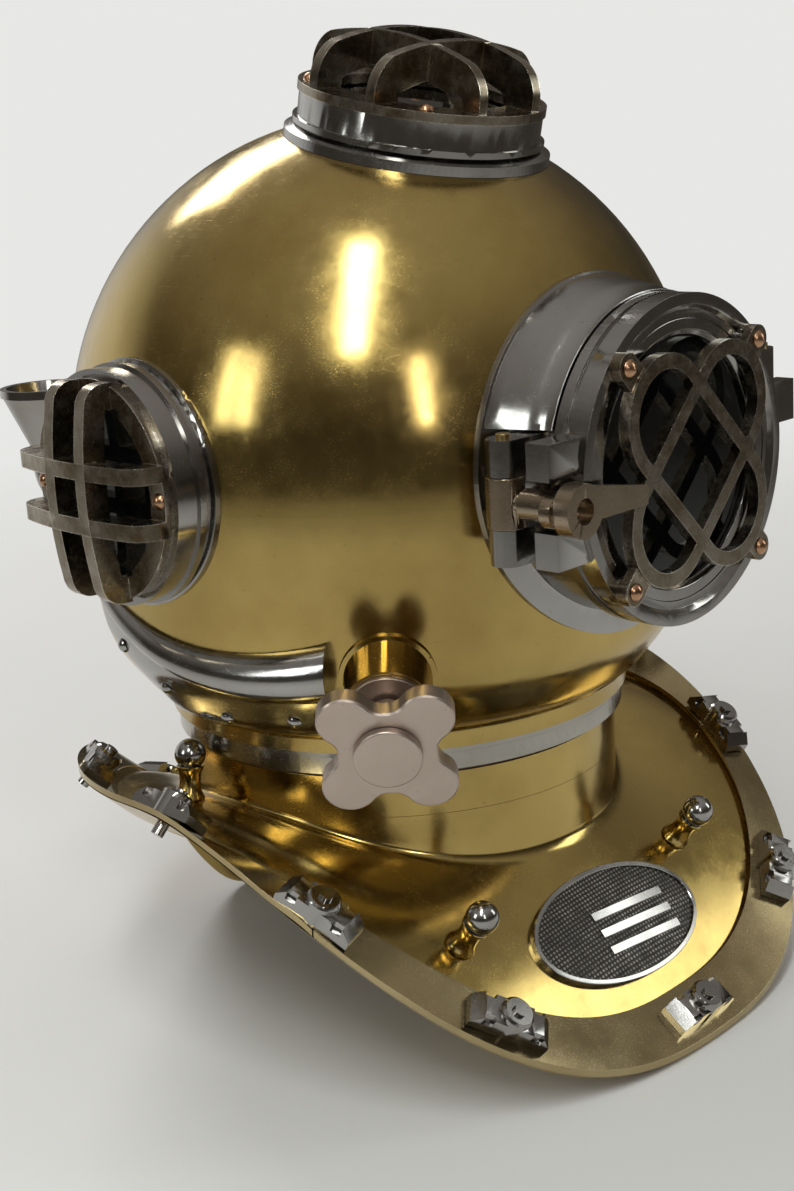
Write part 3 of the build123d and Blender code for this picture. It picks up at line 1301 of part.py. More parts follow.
def exhaust_stem():
    """Sliding stem with the valve disc."""
    low = VALVE_SEAT_FRONT + FIT_GAP
    body = rod(VALVE_STEM_RADIUS, CHIN_BUTTON_BACK + CHIN_BUTTON_THICKNESS / 2, WHEEL_BUTTON_BACK)
    body += rod(VALVE_DISC_RADIUS, low, low + VALVE_DISC_THICKNESS)
    return VALVE.location * body


def chin_button():
    """Button the diver presses inside the bonnet."""
    body = rod(CHIN_BUTTON_RADIUS, CHIN_BUTTON_BACK, CHIN_BUTTON_BACK + CHIN_BUTTON_THICKNESS)
    body -= rod(
        VALVE_STEM_RADIUS + SOLDER_GAP, CHIN_BUTTON_BACK + CHIN_BUTTON_THICKNESS / 2 - SOLDER_GAP, VALVE_FRONT
    )
    return VALVE.location * body


def wheel_button():
    """Round button in the middle of the handwheel, fixed to the stem."""
    body = rod(WHEEL_BUTTON_RADIUS, WHEEL_BUTTON_BACK, WHEEL_BUTTON_FRONT)
    body = fillet(body.edges().group_by(Axis.Z)[-1], radius=BUTTON_EDGE_ROUND)
    return VALVE.location * body


def exhaust_handwheel():
    """Four lobed handwheel with hub and sleeve."""
    plan = Circle(WHEEL_CORE_RADIUS)
    for index in range(LUG_COUNT):
        turn = (index + 0.5) * 360 / LUG_COUNT
        plan += Rot(0, 0, turn) * Pos(WHEEL_LOBE_OFFSET, 0, 0) * Circle(WHEEL_LOBE_RADIUS)
    plan = fillet(plan.vertices(), radius=WHEEL_FILLET)
    body = Pos(0, 0, WHEEL_BACK) * extrude(plan, amount=WHEEL_FRONT - WHEEL_BACK)
    body = chamfer(body.edges().group_by(Axis.Z)[-1], length=WHEEL_EDGE_ROUND / 2)
    body += rod(WHEEL_HUB_RADIUS, WHEEL_HUB_BACK, WHEEL_BACK + SOLDER_GAP)
    body += rod(WHEEL_SLEEVE_RADIUS, WHEEL_SLEEVE_BACK, WHEEL_HUB_BACK + SOLDER_GAP)
    body -= rod(VALVE_STEM_RADIUS + STEM_RUNNING_GAP, 0, 2 * WHEEL_FRONT)
    return VALVE.location * body


def exhaust_adjuster():
    """Spring cap that the handwheel drives along the housing."""
    body = ring(VALVE_STEM_RADIUS + FIT_GAP, ADJUSTER_RADIUS, ADJUSTER_BACK, ADJUSTER_FRONT)
    return VALVE.location * body


def exhaust_spring():
    """Valve spring as one unbroken coil."""
    low = VALVE_SEAT_FRONT + FIT_GAP + VALVE_DISC_THICKNESS + SPRING_END_GAP + SPRING_WIRE_RADIUS
    high = ADJUSTER_BACK - SPRING_END_GAP - SPRING_WIRE_RADIUS
    path = Helix(pitch=(high - low) / SPRING_TURNS, height=high - low, radius=SPRING_COIL_RADIUS)
    start = Plane(origin=path @ 0, z_dir=path % 0)
    coil = sweep(start * Circle(SPRING_WIRE_RADIUS), path=path)
    return VALVE.location * Pos(0, 0, low) * coil


def channel_height(bearing):
    """Height of the channel centre at a bearing."""
    away = math.radians(bearing - CHANNEL_LOWEST_BEARING)
    return CHANNEL_LOW_HEIGHT + CHANNEL_RISE * (1 - math.cos(away))


def bonnet_radius_at(height):
    """Outer bonnet radius at a height below its centre."""
    skin = bonnet_outline(0)[1]
    low, high = 0.0, 1.0
    for _ in range(SKIN_HALVINGS):
        middle = (low + high) / 2
        if (skin @ middle).Z < height:
            low = middle
        else:
            high = middle
    return (skin @ low).X


def skin_frame(bearing, height):
    """Frame on the bonnet skin with X round the bonnet and Z outward."""
    step = BONNET_SHEET
    radius = bonnet_radius_at(height)
    lean = (bonnet_radius_at(height + step) - bonnet_radius_at(height - step)) / (2 * step)
    outward = polar(1, bearing, -lean).normalized()
    origin = polar(radius, bearing, height)
    return Plane(origin=origin, x_dir=polar(1, bearing + 90), z_dir=outward)


def channel_section(bearing, inset):
    """Arched outline of the channel across its run."""
    frame = skin_frame(bearing, channel_height(bearing))
    share = (bearing - CHANNEL_START) / (CHANNEL_END - CHANNEL_START)
    half = CHANNEL_HALF_WIDTH + (CHANNEL_END_HALF_WIDTH - CHANNEL_HALF_WIDTH) * share - inset
    proud = CHANNEL_PROUD + (CHANNEL_END_PROUD - CHANNEL_PROUD) * share - inset
    low = -CHANNEL_ROOT - inset
    points = [(0, -half, low), (0, -half, 0), (0, 0, proud), (0, half, 0), (0, half, low)]
    world = [frame.from_local_coords(Vector(*point)) for point in points]
    return Wire([
        Edge.make_line(world[0], world[1]),
        Edge.make_three_point_arc(world[1], world[2], world[3]),
        Edge.make_line(world[3], world[4]),
        Edge.make_line(world[4], world[0]),
    ])


def channel_loft(inset, start, end):
    """Solid run of the channel between two bearings."""
    steps = CHANNEL_STATIONS
    bearings = [start + (end - start) * step / steps for step in range(steps + 1)]
    return Part(Solid.make_loft([channel_section(bearing, inset) for bearing in bearings]).wrapped)


def bearing_wedge(start, end, low, high):
    """Wedge of space between two bearings and two heights."""
    reach = 2 * BONNET_RADIUS
    middle = (start + end) / 2
    corners = [Vector(0, 0, low)] + [polar(reach, bearing, low) for bearing in (start, middle, end)]
    return extrude(make_face(Polyline(*corners, close=True)), amount=high - low, dir=(0, 0, 1))


def exhaust_channel():
    """Half round exhaust channel on a flat soldered flange."""
    end_wall = math.degrees(CHANNEL_END_WALL / BONNET_RADIUS)
    shell = channel_loft(0, CHANNEL_START, CHANNEL_END)
    shell -= channel_loft(CHANNEL_WALL, CHANNEL_START - end_wall, CHANNEL_END - end_wall)
    shell -= bonnet_core(SKIN_SEAT_GAP)
    skin = bonnet_core(SKIN_SEAT_GAP + CHANNEL_FLANGE_SKIN) - bonnet_core(SKIN_SEAT_GAP)
    flange = skin & bearing_wedge(CHANNEL_END, CHANNEL_START, CHANNEL_FLANGE_BOTTOM, BONNET_CENTRE_HEIGHT)
    first, lowest, last = [
        skin_frame(bearing, channel_height(bearing) - CHANNEL_FLANGE_LAP).origin
        for bearing in (CHANNEL_START, CHANNEL_LOWEST_BEARING, CHANNEL_END)
    ]
    upright = (lowest - first).cross(last - first).normalized()
    upright = upright if upright.Z > 0 else -upright
    flange = split(flange, bisect_by=Plane(origin=first, z_dir=upright), keep=Keep.BOTTOM)
    tail = polar(FLANGE_TAIL_REACH, FLANGE_TAIL_BEARING, FLANGE_TAIL_HEIGHT)
    rising = polar(-FLANGE_TAIL_SLOPE, FLANGE_TAIL_BEARING, 1).normalized()
    flange = split(flange, bisect_by=Plane(origin=tail, z_dir=rising), keep=Keep.TOP)
    inside = channel_loft(CHANNEL_WALL, CHANNEL_START - end_wall, CHANNEL_END - end_wall)
    body = shell + (flange - inside)
    for place in rivet_frames():
        body -= place.location * rod(RIVET_RADIUS + SOLDER_GAP, -RIVET_LENGTH, RIVET_LENGTH)
    return body


def rivet_frames():
    """Frames of the channel rivets on the bonnet skin."""
    return [skin_frame(bearing, height) for bearing, height in RIVET_PLACES]


def channel_rivets():
    """Domed rivets of the exhaust channel flange."""
    top = SKIN_SEAT_GAP + CHANNEL_FLANGE_SKIN
    rivet = rod(RIVET_RADIUS, -BONNET_SHEET - RIVET_HEAD_HEIGHT / 2, top + RIVET_HEAD_HEIGHT / 2)
    rivet += dome(RIVET_HEAD_RADIUS, RIVET_HEAD_HEIGHT, top + RIVET_SEAT_GAP)
    return [place.location * rivet for place in rivet_frames()]


def gooseneck_root(side):
    """Frame where a gooseneck leaves the bonnet."""
    bearing = side * GOOSENECK_BEARING
    origin = polar(GOOSENECK_ROOT_RADIUS, bearing, GOOSENECK_ROOT_HEIGHT)
    return Plane(origin=origin, x_dir=polar(1, bearing + 90), z_dir=polar(1, bearing))


def gooseneck(side):
    """Bent pipe with a nut collar and a flared cup."""
    bearing = side * GOOSENECK_BEARING
    reach, bend = GOOSENECK_REACH, GOOSENECK_BEND
    low = GOOSENECK_ROOT_HEIGHT
    start = polar(GOOSENECK_ROOT_RADIUS, bearing, low)
    turn_in = polar(reach - bend, bearing, low)
    turn_out = polar(reach, bearing, low + bend)
    dip = bend * math.sin(math.radians(45))
    middle = polar(reach - bend + dip, bearing, low + bend - dip)
    end = polar(reach, bearing, GOOSENECK_NUT_HIGH)
    path = Wire([
        Edge.make_line(start, turn_in),
        Edge.make_three_point_arc(turn_in, middle, turn_out),
        Edge.make_line(turn_out, end),
    ])
    root = gooseneck_root(side)
    outer = sweep(root * Circle(GOOSENECK_PIPE_RADIUS), path=path)
    inner = sweep(root * Circle(GOOSENECK_PIPE_RADIUS - GOOSENECK_WALL), path=path)
    bore = GOOSENECK_PIPE_RADIUS - GOOSENECK_WALL
    rim = GOOSENECK_CUP_RADIUS + GOOSENECK_RIM_PROUD
    cup = turned([
        (bore, GOOSENECK_NUT_LOW),
        (GOOSENECK_NUT_RADIUS, GOOSENECK_NUT_LOW),
        (GOOSENECK_NUT_RADIUS, GOOSENECK_NUT_HIGH),
        (GOOSENECK_PIPE_RADIUS, GOOSENECK_NUT_HIGH),
        (GOOSENECK_CUP_RADIUS, GOOSENECK_CUP_TOP - GOOSENECK_RIM_HEIGHT),
        (rim, GOOSENECK_CUP_TOP - GOOSENECK_RIM_HEIGHT),
        (rim, GOOSENECK_CUP_TOP),
        (GOOSENECK_CUP_RADIUS - GOOSENECK_CUP_WALL, GOOSENECK_CUP_TOP),
        (bore, GOOSENECK_NUT_HIGH),
    ])
    place = polar(reach, bearing)
    body = outer + Pos(place.X, place.Y, 0) * cup
    body -= inner
    band = root.location * ring(bore, GOOSENECK_FLANGE_RADIUS, -BONNET_SHEET, GOOSENECK_BEND)
    flange = (band & bonnet_core(SKIN_SEAT_GAP + FLANGE_SKIN)) - bonnet_core(SKIN_SEAT_GAP)
    return body + flange


def port_nodes():
    """Save both side ports, the diver's left one as a mirror image."""
    gasket, glass = window_set(
        RIGHT, SIDE_REBATE_RADIUS, SIDE_BORE_RADIUS, SIDE_COLLAR_FRONT - SIDE_REBATE_DEPTH
    )
    pieces = {
        "port_collar": side_collar(),
        "port_gasket": gasket,
        "port_glass": glass,
        "port_guard": side_guard(),
        "port_screws": Compound(children=side_guard_screws()),
    }
    for name, shape in pieces.items():
        save(shape, f"right_{name}")
        save(mirror(shape, about=Plane.YZ), f"left_{name}")


def main():
    """Build every node."""
    os.makedirs("parts", exist_ok=True)
    save(breastplate(), "breastplate")
    save(breastplate_neck_ring(), "breastplate_neck_ring")
    save(neck_gasket(), "neck_gasket")
    for index, name in enumerate(("front", "left", "rear", "right")):
        save(brail(index), f"brail_{name}")
    save(Compound(children=brail_studs()), "brail_studs")
    save(Compound(children=wing_nuts()), "wing_nuts")
    save(Compound(children=lanyard_knobs()), "lanyard_knobs")
    save(name_plate(), "name_plate")
    save(safety_latch_pin(), "safety_latch_pin")
    save(safety_latch(), "safety_latch")
    save(bonnet(), "bonnet")
    save(bonnet_neck_ring(), "bonnet_neck_ring")
    save(front_collar(), "front_collar")
    save(collar_hood(), "collar_hood")
    save(faceplate_seal(), "faceplate_seal")
    save(hinge_pin(), "hinge_pin")
    save(swing_pin(), "swing_pin")
    save(door_frame(), "door_frame")
    save(door_gasket(), "door_gasket")
    save(door_glass(), "door_glass")
    save(door_retaining_ring(), "door_retaining_ring")
    save(door_guard(), "door_guard")
    save(Compound(children=door_guard_screws()), "door_guard_screws")
    save(swing_bolt(), "swing_bolt")
    save(latch_lever(), "latch_lever")
    port_nodes()
    gasket, glass = window_set(TOP, TOP_REBATE_RADIUS, TOP_BORE_RADIUS, TOP_COLLAR_FRONT - TOP_REBATE_DEPTH)
    save(top_collar(), "top_port_collar")
    save(gasket, "top_port_gasket")
    save(glass, "top_port_glass")
    save(top_guard(), "top_port_guard")
    save(Compound(children=top_guard_screws()), "top_port_screws")
    save(exhaust_valve_body(), "exhaust_valve_body")
    save(exhaust_cap(), "exhaust_cap")
    save(exhaust_stem(), "exhaust_stem")
    save(chin_button(), "chin_button")
    save(wheel_button(), "wheel_button")
    save(exhaust_handwheel(), "exhaust_handwheel")
    save(exhaust_adjuster(), "exhaust_adjuster")
    save(exhaust_spring(), "exhaust_spring")
    save(exhaust_channel(), "exhaust_channel")
    save(Compound(children=channel_rivets()), "channel_rivets")
    save(gooseneck(-1), "air_gooseneck")
    save(gooseneck(1), "telephone_gooseneck")


main()
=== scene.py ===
"""Looks of a brass diving helmet, built round its packed assembly.

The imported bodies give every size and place. Each class here dresses one
sub-assembly: it takes its pieces from the frame, rounds their edges, adds the
finer work that the frame leaves plain and gives every piece a procedural finish.
"""

import logging
import math
from dataclasses import dataclass
from enum import Enum

import bmesh
import bpy
import numpy as np
from mathutils import Matrix, Vector, kdtree
from mathutils.bvhtree import BVHTree

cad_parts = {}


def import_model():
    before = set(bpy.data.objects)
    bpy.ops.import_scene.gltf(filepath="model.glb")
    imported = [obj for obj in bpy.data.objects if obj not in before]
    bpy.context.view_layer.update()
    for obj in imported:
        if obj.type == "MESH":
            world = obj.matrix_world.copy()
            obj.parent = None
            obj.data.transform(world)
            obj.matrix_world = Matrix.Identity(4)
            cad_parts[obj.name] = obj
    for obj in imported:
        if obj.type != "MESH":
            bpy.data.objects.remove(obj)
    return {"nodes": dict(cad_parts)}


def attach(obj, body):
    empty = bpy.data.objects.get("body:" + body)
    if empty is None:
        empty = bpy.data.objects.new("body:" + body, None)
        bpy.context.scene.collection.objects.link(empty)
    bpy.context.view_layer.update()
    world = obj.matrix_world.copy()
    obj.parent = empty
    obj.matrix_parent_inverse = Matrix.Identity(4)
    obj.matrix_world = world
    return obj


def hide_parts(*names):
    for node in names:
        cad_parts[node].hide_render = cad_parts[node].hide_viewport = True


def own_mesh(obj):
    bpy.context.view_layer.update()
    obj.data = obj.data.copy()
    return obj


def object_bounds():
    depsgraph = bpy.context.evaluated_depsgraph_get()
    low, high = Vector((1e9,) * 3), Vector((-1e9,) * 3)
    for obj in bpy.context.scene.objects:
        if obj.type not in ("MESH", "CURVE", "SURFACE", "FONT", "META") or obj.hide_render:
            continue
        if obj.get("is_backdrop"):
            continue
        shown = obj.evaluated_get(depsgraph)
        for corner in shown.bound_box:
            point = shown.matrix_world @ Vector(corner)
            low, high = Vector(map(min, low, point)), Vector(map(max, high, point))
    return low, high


LOG = logging.getLogger("helmet")
MM = 0.001
FLAT_ANGLE = 0.03
MERGE_DISTANCE = 0.001 * MM
SAME_PLACE = 0.004 * MM
LOWEST_MATCH = 0.8
SHARP_ANGLE = 32.0
HAIR_TURNS = ((20, 35, 10), (75, -20, 50), (-40, 60, 120))
HAIR_STRETCH = 0.012
HAIR_LEVELS = (0.68, 0.74)
EDGE_SAMPLES = 4
EDGE_LEVELS = (0.985, 0.86)

Colour = tuple[float, float, float]
Triple = tuple[float, float, float]


class Shader:
    """A material's node tree, with short calls for the nodes that finishes share."""

    def __init__(self, name: str) -> None:
        """Starts an empty material.

        Args:
            name: The material's name.
        """
        self.material = bpy.data.materials.new(name)
        self.material.use_nodes = True
        self.tree = self.material.node_tree
        self.tree.nodes.clear()
        self.coordinates = self.add("ShaderNodeTexCoord").outputs["Object"]

    def add(self, kind: str, **values: object) -> bpy.types.Node:
        """Adds a node and sets its inputs.

        Args:
            kind: The node's type name.
            **values: Input names, with _ for a space, and their values or sockets.

        Returns:
            The new node.
        """
        node = self.tree.nodes.new(kind)
        for name, value in values.items():
            socket = node.inputs[name.replace("_", " ")]
            if isinstance(value, bpy.types.NodeSocket):
                self.tree.links.new(value, socket)
            else:
                socket.default_value = value
        return node

    def placed(self, stretch: Triple = (1, 1, 1), turn: Triple = (0, 0, 0)) -> bpy.types.NodeSocket:
        """Object coordinates, turned and then stretched.

        Args:
            stretch: The scale along each axis.
            turn: The rotation in degrees about each axis.

        Returns:
            The vector socket.
        """
        angles = tuple(math.radians(angle) for angle in turn)
        node = self.add("ShaderNodeMapping", Vector=self.coordinates, Rotation=angles, Scale=stretch)
        return node.outputs[0]

    def noise(self, scale: float, detail: float = 3, roughness: float = 0.5,
              vector: bpy.types.NodeSocket | None = None) -> bpy.types.NodeSocket:
        """A noise field.

        Args:
            scale: Features per metre.
            detail: Octaves.
            roughness: Weight of the finer octaves.
            vector: Where to read the field; the object coordinates if left out.

        Returns:
            The grey value's socket.
        """
        node = self.add("ShaderNodeTexNoise", Vector=vector or self.coordinates, Scale=scale,
                        Detail=detail, Roughness=roughness)
        return node.outputs[0]

    def ramp(self, value: bpy.types.NodeSocket, low: float, high: float,
             start: float = 0, end: float = 1) -> bpy.types.NodeSocket:
        """Maps a value from one range to another and clamps it.

        Args:
            value: The grey value's socket.
            low: The value that gives start.
            high: The value that gives end.
            start: The result at low.
            end: The result at high.

        Returns:
            The mapped value's socket.
        """
        node = self.add("ShaderNodeMapRange", Value=value)
        for name, number in (("From Min", low), ("From Max", high), ("To Min", start), ("To Max", end)):
            node.inputs[name].default_value = number
        return node.outputs[0]

    def mix(self, share: bpy.types.NodeSocket, first: object, second: object) -> bpy.types.NodeSocket:
        """Mixes two colours.

        Args:
            share: How much of the second shows.
            first: A colour or a socket.
            second: A colour or a socket.

        Returns:
            The mixed colour's socket.
        """
        node = self.tree.nodes.new("ShaderNodeMix")
        node.data_type = "RGBA"
        self.tree.links.new(share, node.inputs[0])
        for index, value in ((6, first), (7, second)):
            if isinstance(value, bpy.types.NodeSocket):
                self.tree.links.new(value, node.inputs[index])
            else:
                node.inputs[index].default_value = (*value, 1)
        return node.outputs[2]

    def math(self, operation: str, first: object, second: object) -> bpy.types.NodeSocket:
        """Joins two values.

        Args:
            operation: The math node's operation.
            first: A number or a socket.
            second: A number or a socket.

        Returns:
            The result's socket.
        """
        node = self.tree.nodes.new("ShaderNodeMath")
        node.operation = operation
        for index, value in enumerate((first, second)):
            if isinstance(value, bpy.types.NodeSocket):
                self.tree.links.new(value, node.inputs[index])
            else:
                node.inputs[index].default_value = value
        return node.outputs[0]

    def bump(self, height: bpy.types.NodeSocket, depth: float,
             normal: bpy.types.NodeSocket | None = None) -> bpy.types.NodeSocket:
        """Adds relief.

        Args:
            height: The relief's grey value.
            depth: Its depth in metres.
            normal: The relief that this one lies on.

        Returns:
            The bent normal's socket.
        """
        node = self.add("ShaderNodeBump", Height=height, Distance=depth, Strength=1.0)
        if normal:
            self.tree.links.new(normal, node.inputs["Normal"])
        return node.outputs[0]

    def scratches(self, spacing: float, amount: float) -> bpy.types.NodeSocket:
        """Fine hair scratches in three directions.

        Args:
            spacing: Scratches per metre.
            amount: The share of the surface that they cover.

        Returns:
            A socket that is 1 on a scratch.
        """
        total: bpy.types.NodeSocket | None = None
        low, high = HAIR_LEVELS
        for turn in HAIR_TURNS:
            hairs = self.noise(spacing, 2, 0.6, self.placed((1, HAIR_STRETCH, 1), turn))
            line = self.ramp(hairs, low - amount, high - amount)
            total = line if total is None else self.math("MAXIMUM", total, line)
        return total

    def worn_edges(self, width: float) -> bpy.types.NodeSocket:
        """Where handling has rubbed the edges.

        Args:
            width: The width of the rubbed strip in metres.

        Returns:
            A socket that is 1 on an edge.
        """
        rounded = self.add("ShaderNodeBevel", Radius=width)
        rounded.samples = EDGE_SAMPLES
        plain = self.add("ShaderNodeNewGeometry").outputs["Normal"]
        dot = self.tree.nodes.new("ShaderNodeVectorMath")
        dot.operation = "DOT_PRODUCT"
        self.tree.links.new(rounded.outputs[0], dot.inputs[0])
        self.tree.links.new(plain, dot.inputs[1])
        return self.ramp(dot.outputs["Value"], *EDGE_LEVELS)

    def surface(self, **values: object) -> bpy.types.Material:
        """Ends the tree with a Principled surface.

        Args:
            **values: The surface's inputs.

        Returns:
            The material.
        """
        shader = self.add("ShaderNodeBsdfPrincipled", **values)
        output = self.add("ShaderNodeOutputMaterial")
        self.tree.links.new(shader.outputs[0], output.inputs["Surface"])
        return self.material


@dataclass(frozen=True)
class Pattern:
    """A noise field and the two levels between which it fades in."""

    scale: float
    detail: float
    roughness: float
    low: float
    high: float

    def draw(self, tree: Shader, start: float = 0, end: float = 1) -> bpy.types.NodeSocket:
        """Lays the field over a surface.

        Args:
            tree: The material's nodes.
            start: The result at the low level.
            end: The result at the high level.

        Returns:
            The grey value's socket.
        """
        field = tree.noise(self.scale, self.detail, self.roughness)
        return tree.ramp(field, self.low, self.high, start, end)


@dataclass(frozen=True)
class Finish:
    """What a material slot looks like."""

    slot: str

    def build(self) -> bpy.types.Material:
        """Makes the material.

        Returns:
            The material.
        """
        raise NotImplementedError


@dataclass(frozen=True)
class PolishedMetal(Finish):
    """Hand-polished metal with tarnish clouds, smudges, hair scratches and soft dents."""

    colour: Colour
    tarnish: Colour
    roughness: float = 0.16
    haze: float = 0.12
    clouds: Pattern = Pattern(14, 5, 0.6, 0.42, 0.72)
    spots: Pattern = Pattern(420, 3, 0.7, 0.66, 0.74)
    smudges: Pattern = Pattern(60, 6, 0.65, 0.35, 0.75)
    tarnish_share: float = 0.35
    spot_share: float = 0.45
    spot_shade: float = 0.45
    scratch_share: float = 0.02
    scratch_spacing: float = 2600
    scratch_haze: float = 0.10
    scratch_mix: float = 0.35
    scratch_brightness: float = 1.12
    dent_depth: float = 0.35 * MM
    dent_scale: float = 22
    grain_scale: float = 500
    grain_depth: float = 0.002 * MM

    def build(self) -> bpy.types.Material:
        """Makes the material.

        Returns:
            The material.
        """
        tree = Shader(self.slot)
        cloud = self.clouds.draw(tree, 0, self.tarnish_share)
        spots = self.spots.draw(tree, 0, self.spot_share)
        lines = tree.scratches(self.scratch_spacing, self.scratch_share)
        toned = tree.mix(cloud, self.colour, self.tarnish)
        spotted = tree.mix(spots, toned, tuple(self.spot_shade * part for part in self.tarnish))
        pale = tuple(min(1.0, self.scratch_brightness * part) for part in self.colour)
        colour = tree.mix(tree.math("MULTIPLY", lines, self.scratch_mix), spotted, pale)
        smudge = self.smudges.draw(tree, self.roughness, self.roughness + self.haze)
        rough = tree.math("ADD", smudge, tree.math("MULTIPLY", lines, self.scratch_haze))
        dents = tree.bump(tree.noise(self.dent_scale, 1, 0.4), self.dent_depth)
        fine = tree.bump(tree.noise(self.grain_scale, 2, 0.5), self.grain_depth, dents)
        normal = tree.bump(lines, -self.grain_depth, fine)
        return tree.surface(Base_Color=colour, Metallic=1.0, Roughness=rough, Normal=normal)


@dataclass(frozen=True)
class CastMetal(Finish):
    """Cast metal with a dark skin in the hollows and rubbed bright edges."""

    colour: Colour
    patina: Colour
    bright: Colour
    roughness: float = 0.3
    haze: float = 0.22
    clouds: Pattern = Pattern(70, 5, 0.65, 0.38, 0.66)
    wear: Pattern = Pattern(260, 4, 0.6, 0.3, 0.55)
    mottle: Pattern = Pattern(180, 5, 0.7, 0.3, 0.7)
    least_wear: float = 0.35
    pit_scale: float = 420
    pit_depth: float = 0.12 * MM
    scratch_share: float = 0.02
    scratch_spacing: float = 2200
    scratch_depth: float = 0.006 * MM
    edge: float = 1.1 * MM
    edge_gloss: float = 0.12

    def build(self) -> bpy.types.Material:
        """Makes the material.

        Returns:
            The material.
        """
        tree = Shader(self.slot)
        skin = tree.mix(self.clouds.draw(tree), self.colour, self.patina)
        worn = tree.worn_edges(self.edge)
        broken = self.wear.draw(tree, self.least_wear)
        rubbed = tree.math("MULTIPLY", worn, broken)
        colour = tree.mix(rubbed, skin, self.bright)
        rough = self.mottle.draw(tree, self.roughness, self.roughness + self.haze)
        smooth = tree.math("SUBTRACT", rough, tree.math("MULTIPLY", rubbed, self.edge_gloss))
        pits = tree.bump(tree.noise(self.pit_scale, 4, 0.6), self.pit_depth)
        lines = tree.scratches(self.scratch_spacing, self.scratch_share)
        normal = tree.bump(lines, -self.scratch_depth, pits)
        return tree.surface(Base_Color=colour, Metallic=1.0, Roughness=smooth, Normal=normal)


@dataclass(frozen=True)
class HatchedMetal(Finish):
    """Dark metal with a fine raised grid, as on a stamped plate's ground."""

    ground: Colour
    raised: Colour
    pitch: float = 2.1 * MM
    wave_scale: float = 0.314
    wobble: float = 0.6
    steepness: float = 1.5
    dot_levels: tuple[float, float] = (0.2, 0.5)
    depth: float = 0.3 * MM
    stains: Pattern = Pattern(90, 5, 0.6, 0.35, 0.7)
    least_stain: float = 0.25
    mottle: Pattern = Pattern(300, 3, 0.6, 0.3, 0.7)
    roughness: tuple[float, float] = (0.32, 0.55)

    def build(self) -> bpy.types.Material:
        """Makes the material.

        Returns:
            The material.
        """
        tree = Shader(self.slot)
        height: bpy.types.NodeSocket | None = None
        for turn, steep in ((0, 1.0), (90, self.steepness)):
            wave = tree.add("ShaderNodeTexWave", Vector=tree.placed(turn=(0, 0, turn)),
                            Scale=self.wave_scale * steep / self.pitch,
                            Distortion=self.wobble).outputs["Fac"]
            height = wave if height is None else tree.math("MULTIPLY", height, wave)
        dots = tree.ramp(height, *self.dot_levels)
        stain = self.stains.draw(tree, self.least_stain)
        colour = tree.mix(tree.math("MULTIPLY", dots, stain), self.ground, self.raised)
        rough = self.mottle.draw(tree, *self.roughness)
        normal = tree.bump(dots, self.depth)
        return tree.surface(Base_Color=colour, Metallic=1.0, Roughness=rough, Normal=normal)


@dataclass(frozen=True)
class PortGlass(Finish):
    """Thick port glass with dust and faint wipe marks."""

    colour: Colour
    clouds: Pattern = Pattern(40, 3, 0.5, 0.3, 0.7)
    cloud_shade: float = 0.8
    dust: Pattern = Pattern(240, 5, 0.7, 0.5, 0.75)
    roughness: tuple[float, float] = (0.02, 0.14)
    scratch_spacing: float = 1800
    scratch_haze: float = 0.2
    ripple_scale: float = 30
    ripple_depth: float = 0.05 * MM
    bending: float = 1.5
    clearness: float = 0.85

    def build(self) -> bpy.types.Material:
        """Makes the material.

        Returns:
            The material.
        """
        tree = Shader(self.slot)
        dust = self.dust.draw(tree, *self.roughness)
        lines = tree.math("MULTIPLY", tree.scratches(self.scratch_spacing, 0.0), self.scratch_haze)
        shaded = tuple(self.cloud_shade * part for part in self.colour)
        # A nearly black glass colour paints shade into the glass: it stands in for the dark inside of the
        # helmet seen through it.
        colour = tree.mix(self.clouds.draw(tree), self.colour, shaded)
        normal = tree.bump(tree.noise(self.ripple_scale, 2), self.ripple_depth)
        return tree.surface(Base_Color=colour, Roughness=tree.math("ADD", dust, lines), Normal=normal,
                            IOR=self.bending, Transmission_Weight=self.clearness)


@dataclass(frozen=True)
class SoftSeal(Finish):
    """Rubber or leather with grain and rubbed patches."""

    colour: Colour
    rubbed: Colour
    wear: Pattern = Pattern(80, 5, 0.6, 0.4, 0.7)
    mottle: Pattern = Pattern(200, 4, 0.6, 0.3, 0.7)
    roughness: tuple[float, float] = (0.55, 0.8)
    grain: float = 700
    grain_depth: float = 0.12 * MM

    def build(self) -> bpy.types.Material:
        """Makes the material.

        Returns:
            The material.
        """
        tree = Shader(self.slot)
        colour = tree.mix(self.wear.draw(tree), self.colour, self.rubbed)
        rough = self.mottle.draw(tree, *self.roughness)
        normal = tree.bump(tree.noise(self.grain, 4, 0.6), self.grain_depth)
        return tree.surface(Base_Color=colour, Roughness=rough, Normal=normal)


@dataclass(frozen=True)
class Paper(Finish):
    """A matt studio sheet that fades into the backdrop."""

    colour: Colour
    clouds: Pattern = Pattern(2.5, 4, 0.55, 0.35, 0.65)
    cloud_shade: float = 0.965
    roughness: float = 0.62
    fade: tuple[float, float] = (0.45, 1.6)
    tooth_scale: float = 700
    tooth_depth: float = 0.05 * MM

    def build(self) -> bpy.types.Material:
        """Makes the material.

        Returns:
            The material.
        """
        tree = Shader(self.slot)
        shaded = tuple(self.cloud_shade * part for part in self.colour)
        colour = tree.mix(self.clouds.draw(tree), self.colour, shaded)
        normal = tree.bump(tree.noise(self.tooth_scale, 3, 0.6), self.tooth_depth)
        distance = tree.tree.nodes.new("ShaderNodeVectorMath")
        distance.operation = "LENGTH"
        tree.tree.links.new(tree.coordinates, distance.inputs[0])
        away = tree.ramp(distance.outputs["Value"], *self.fade)
        return tree.surface(Base_Color=colour, Roughness=self.roughness, Normal=normal,
                            Alpha=tree.math("SUBTRACT", 1.0, away))


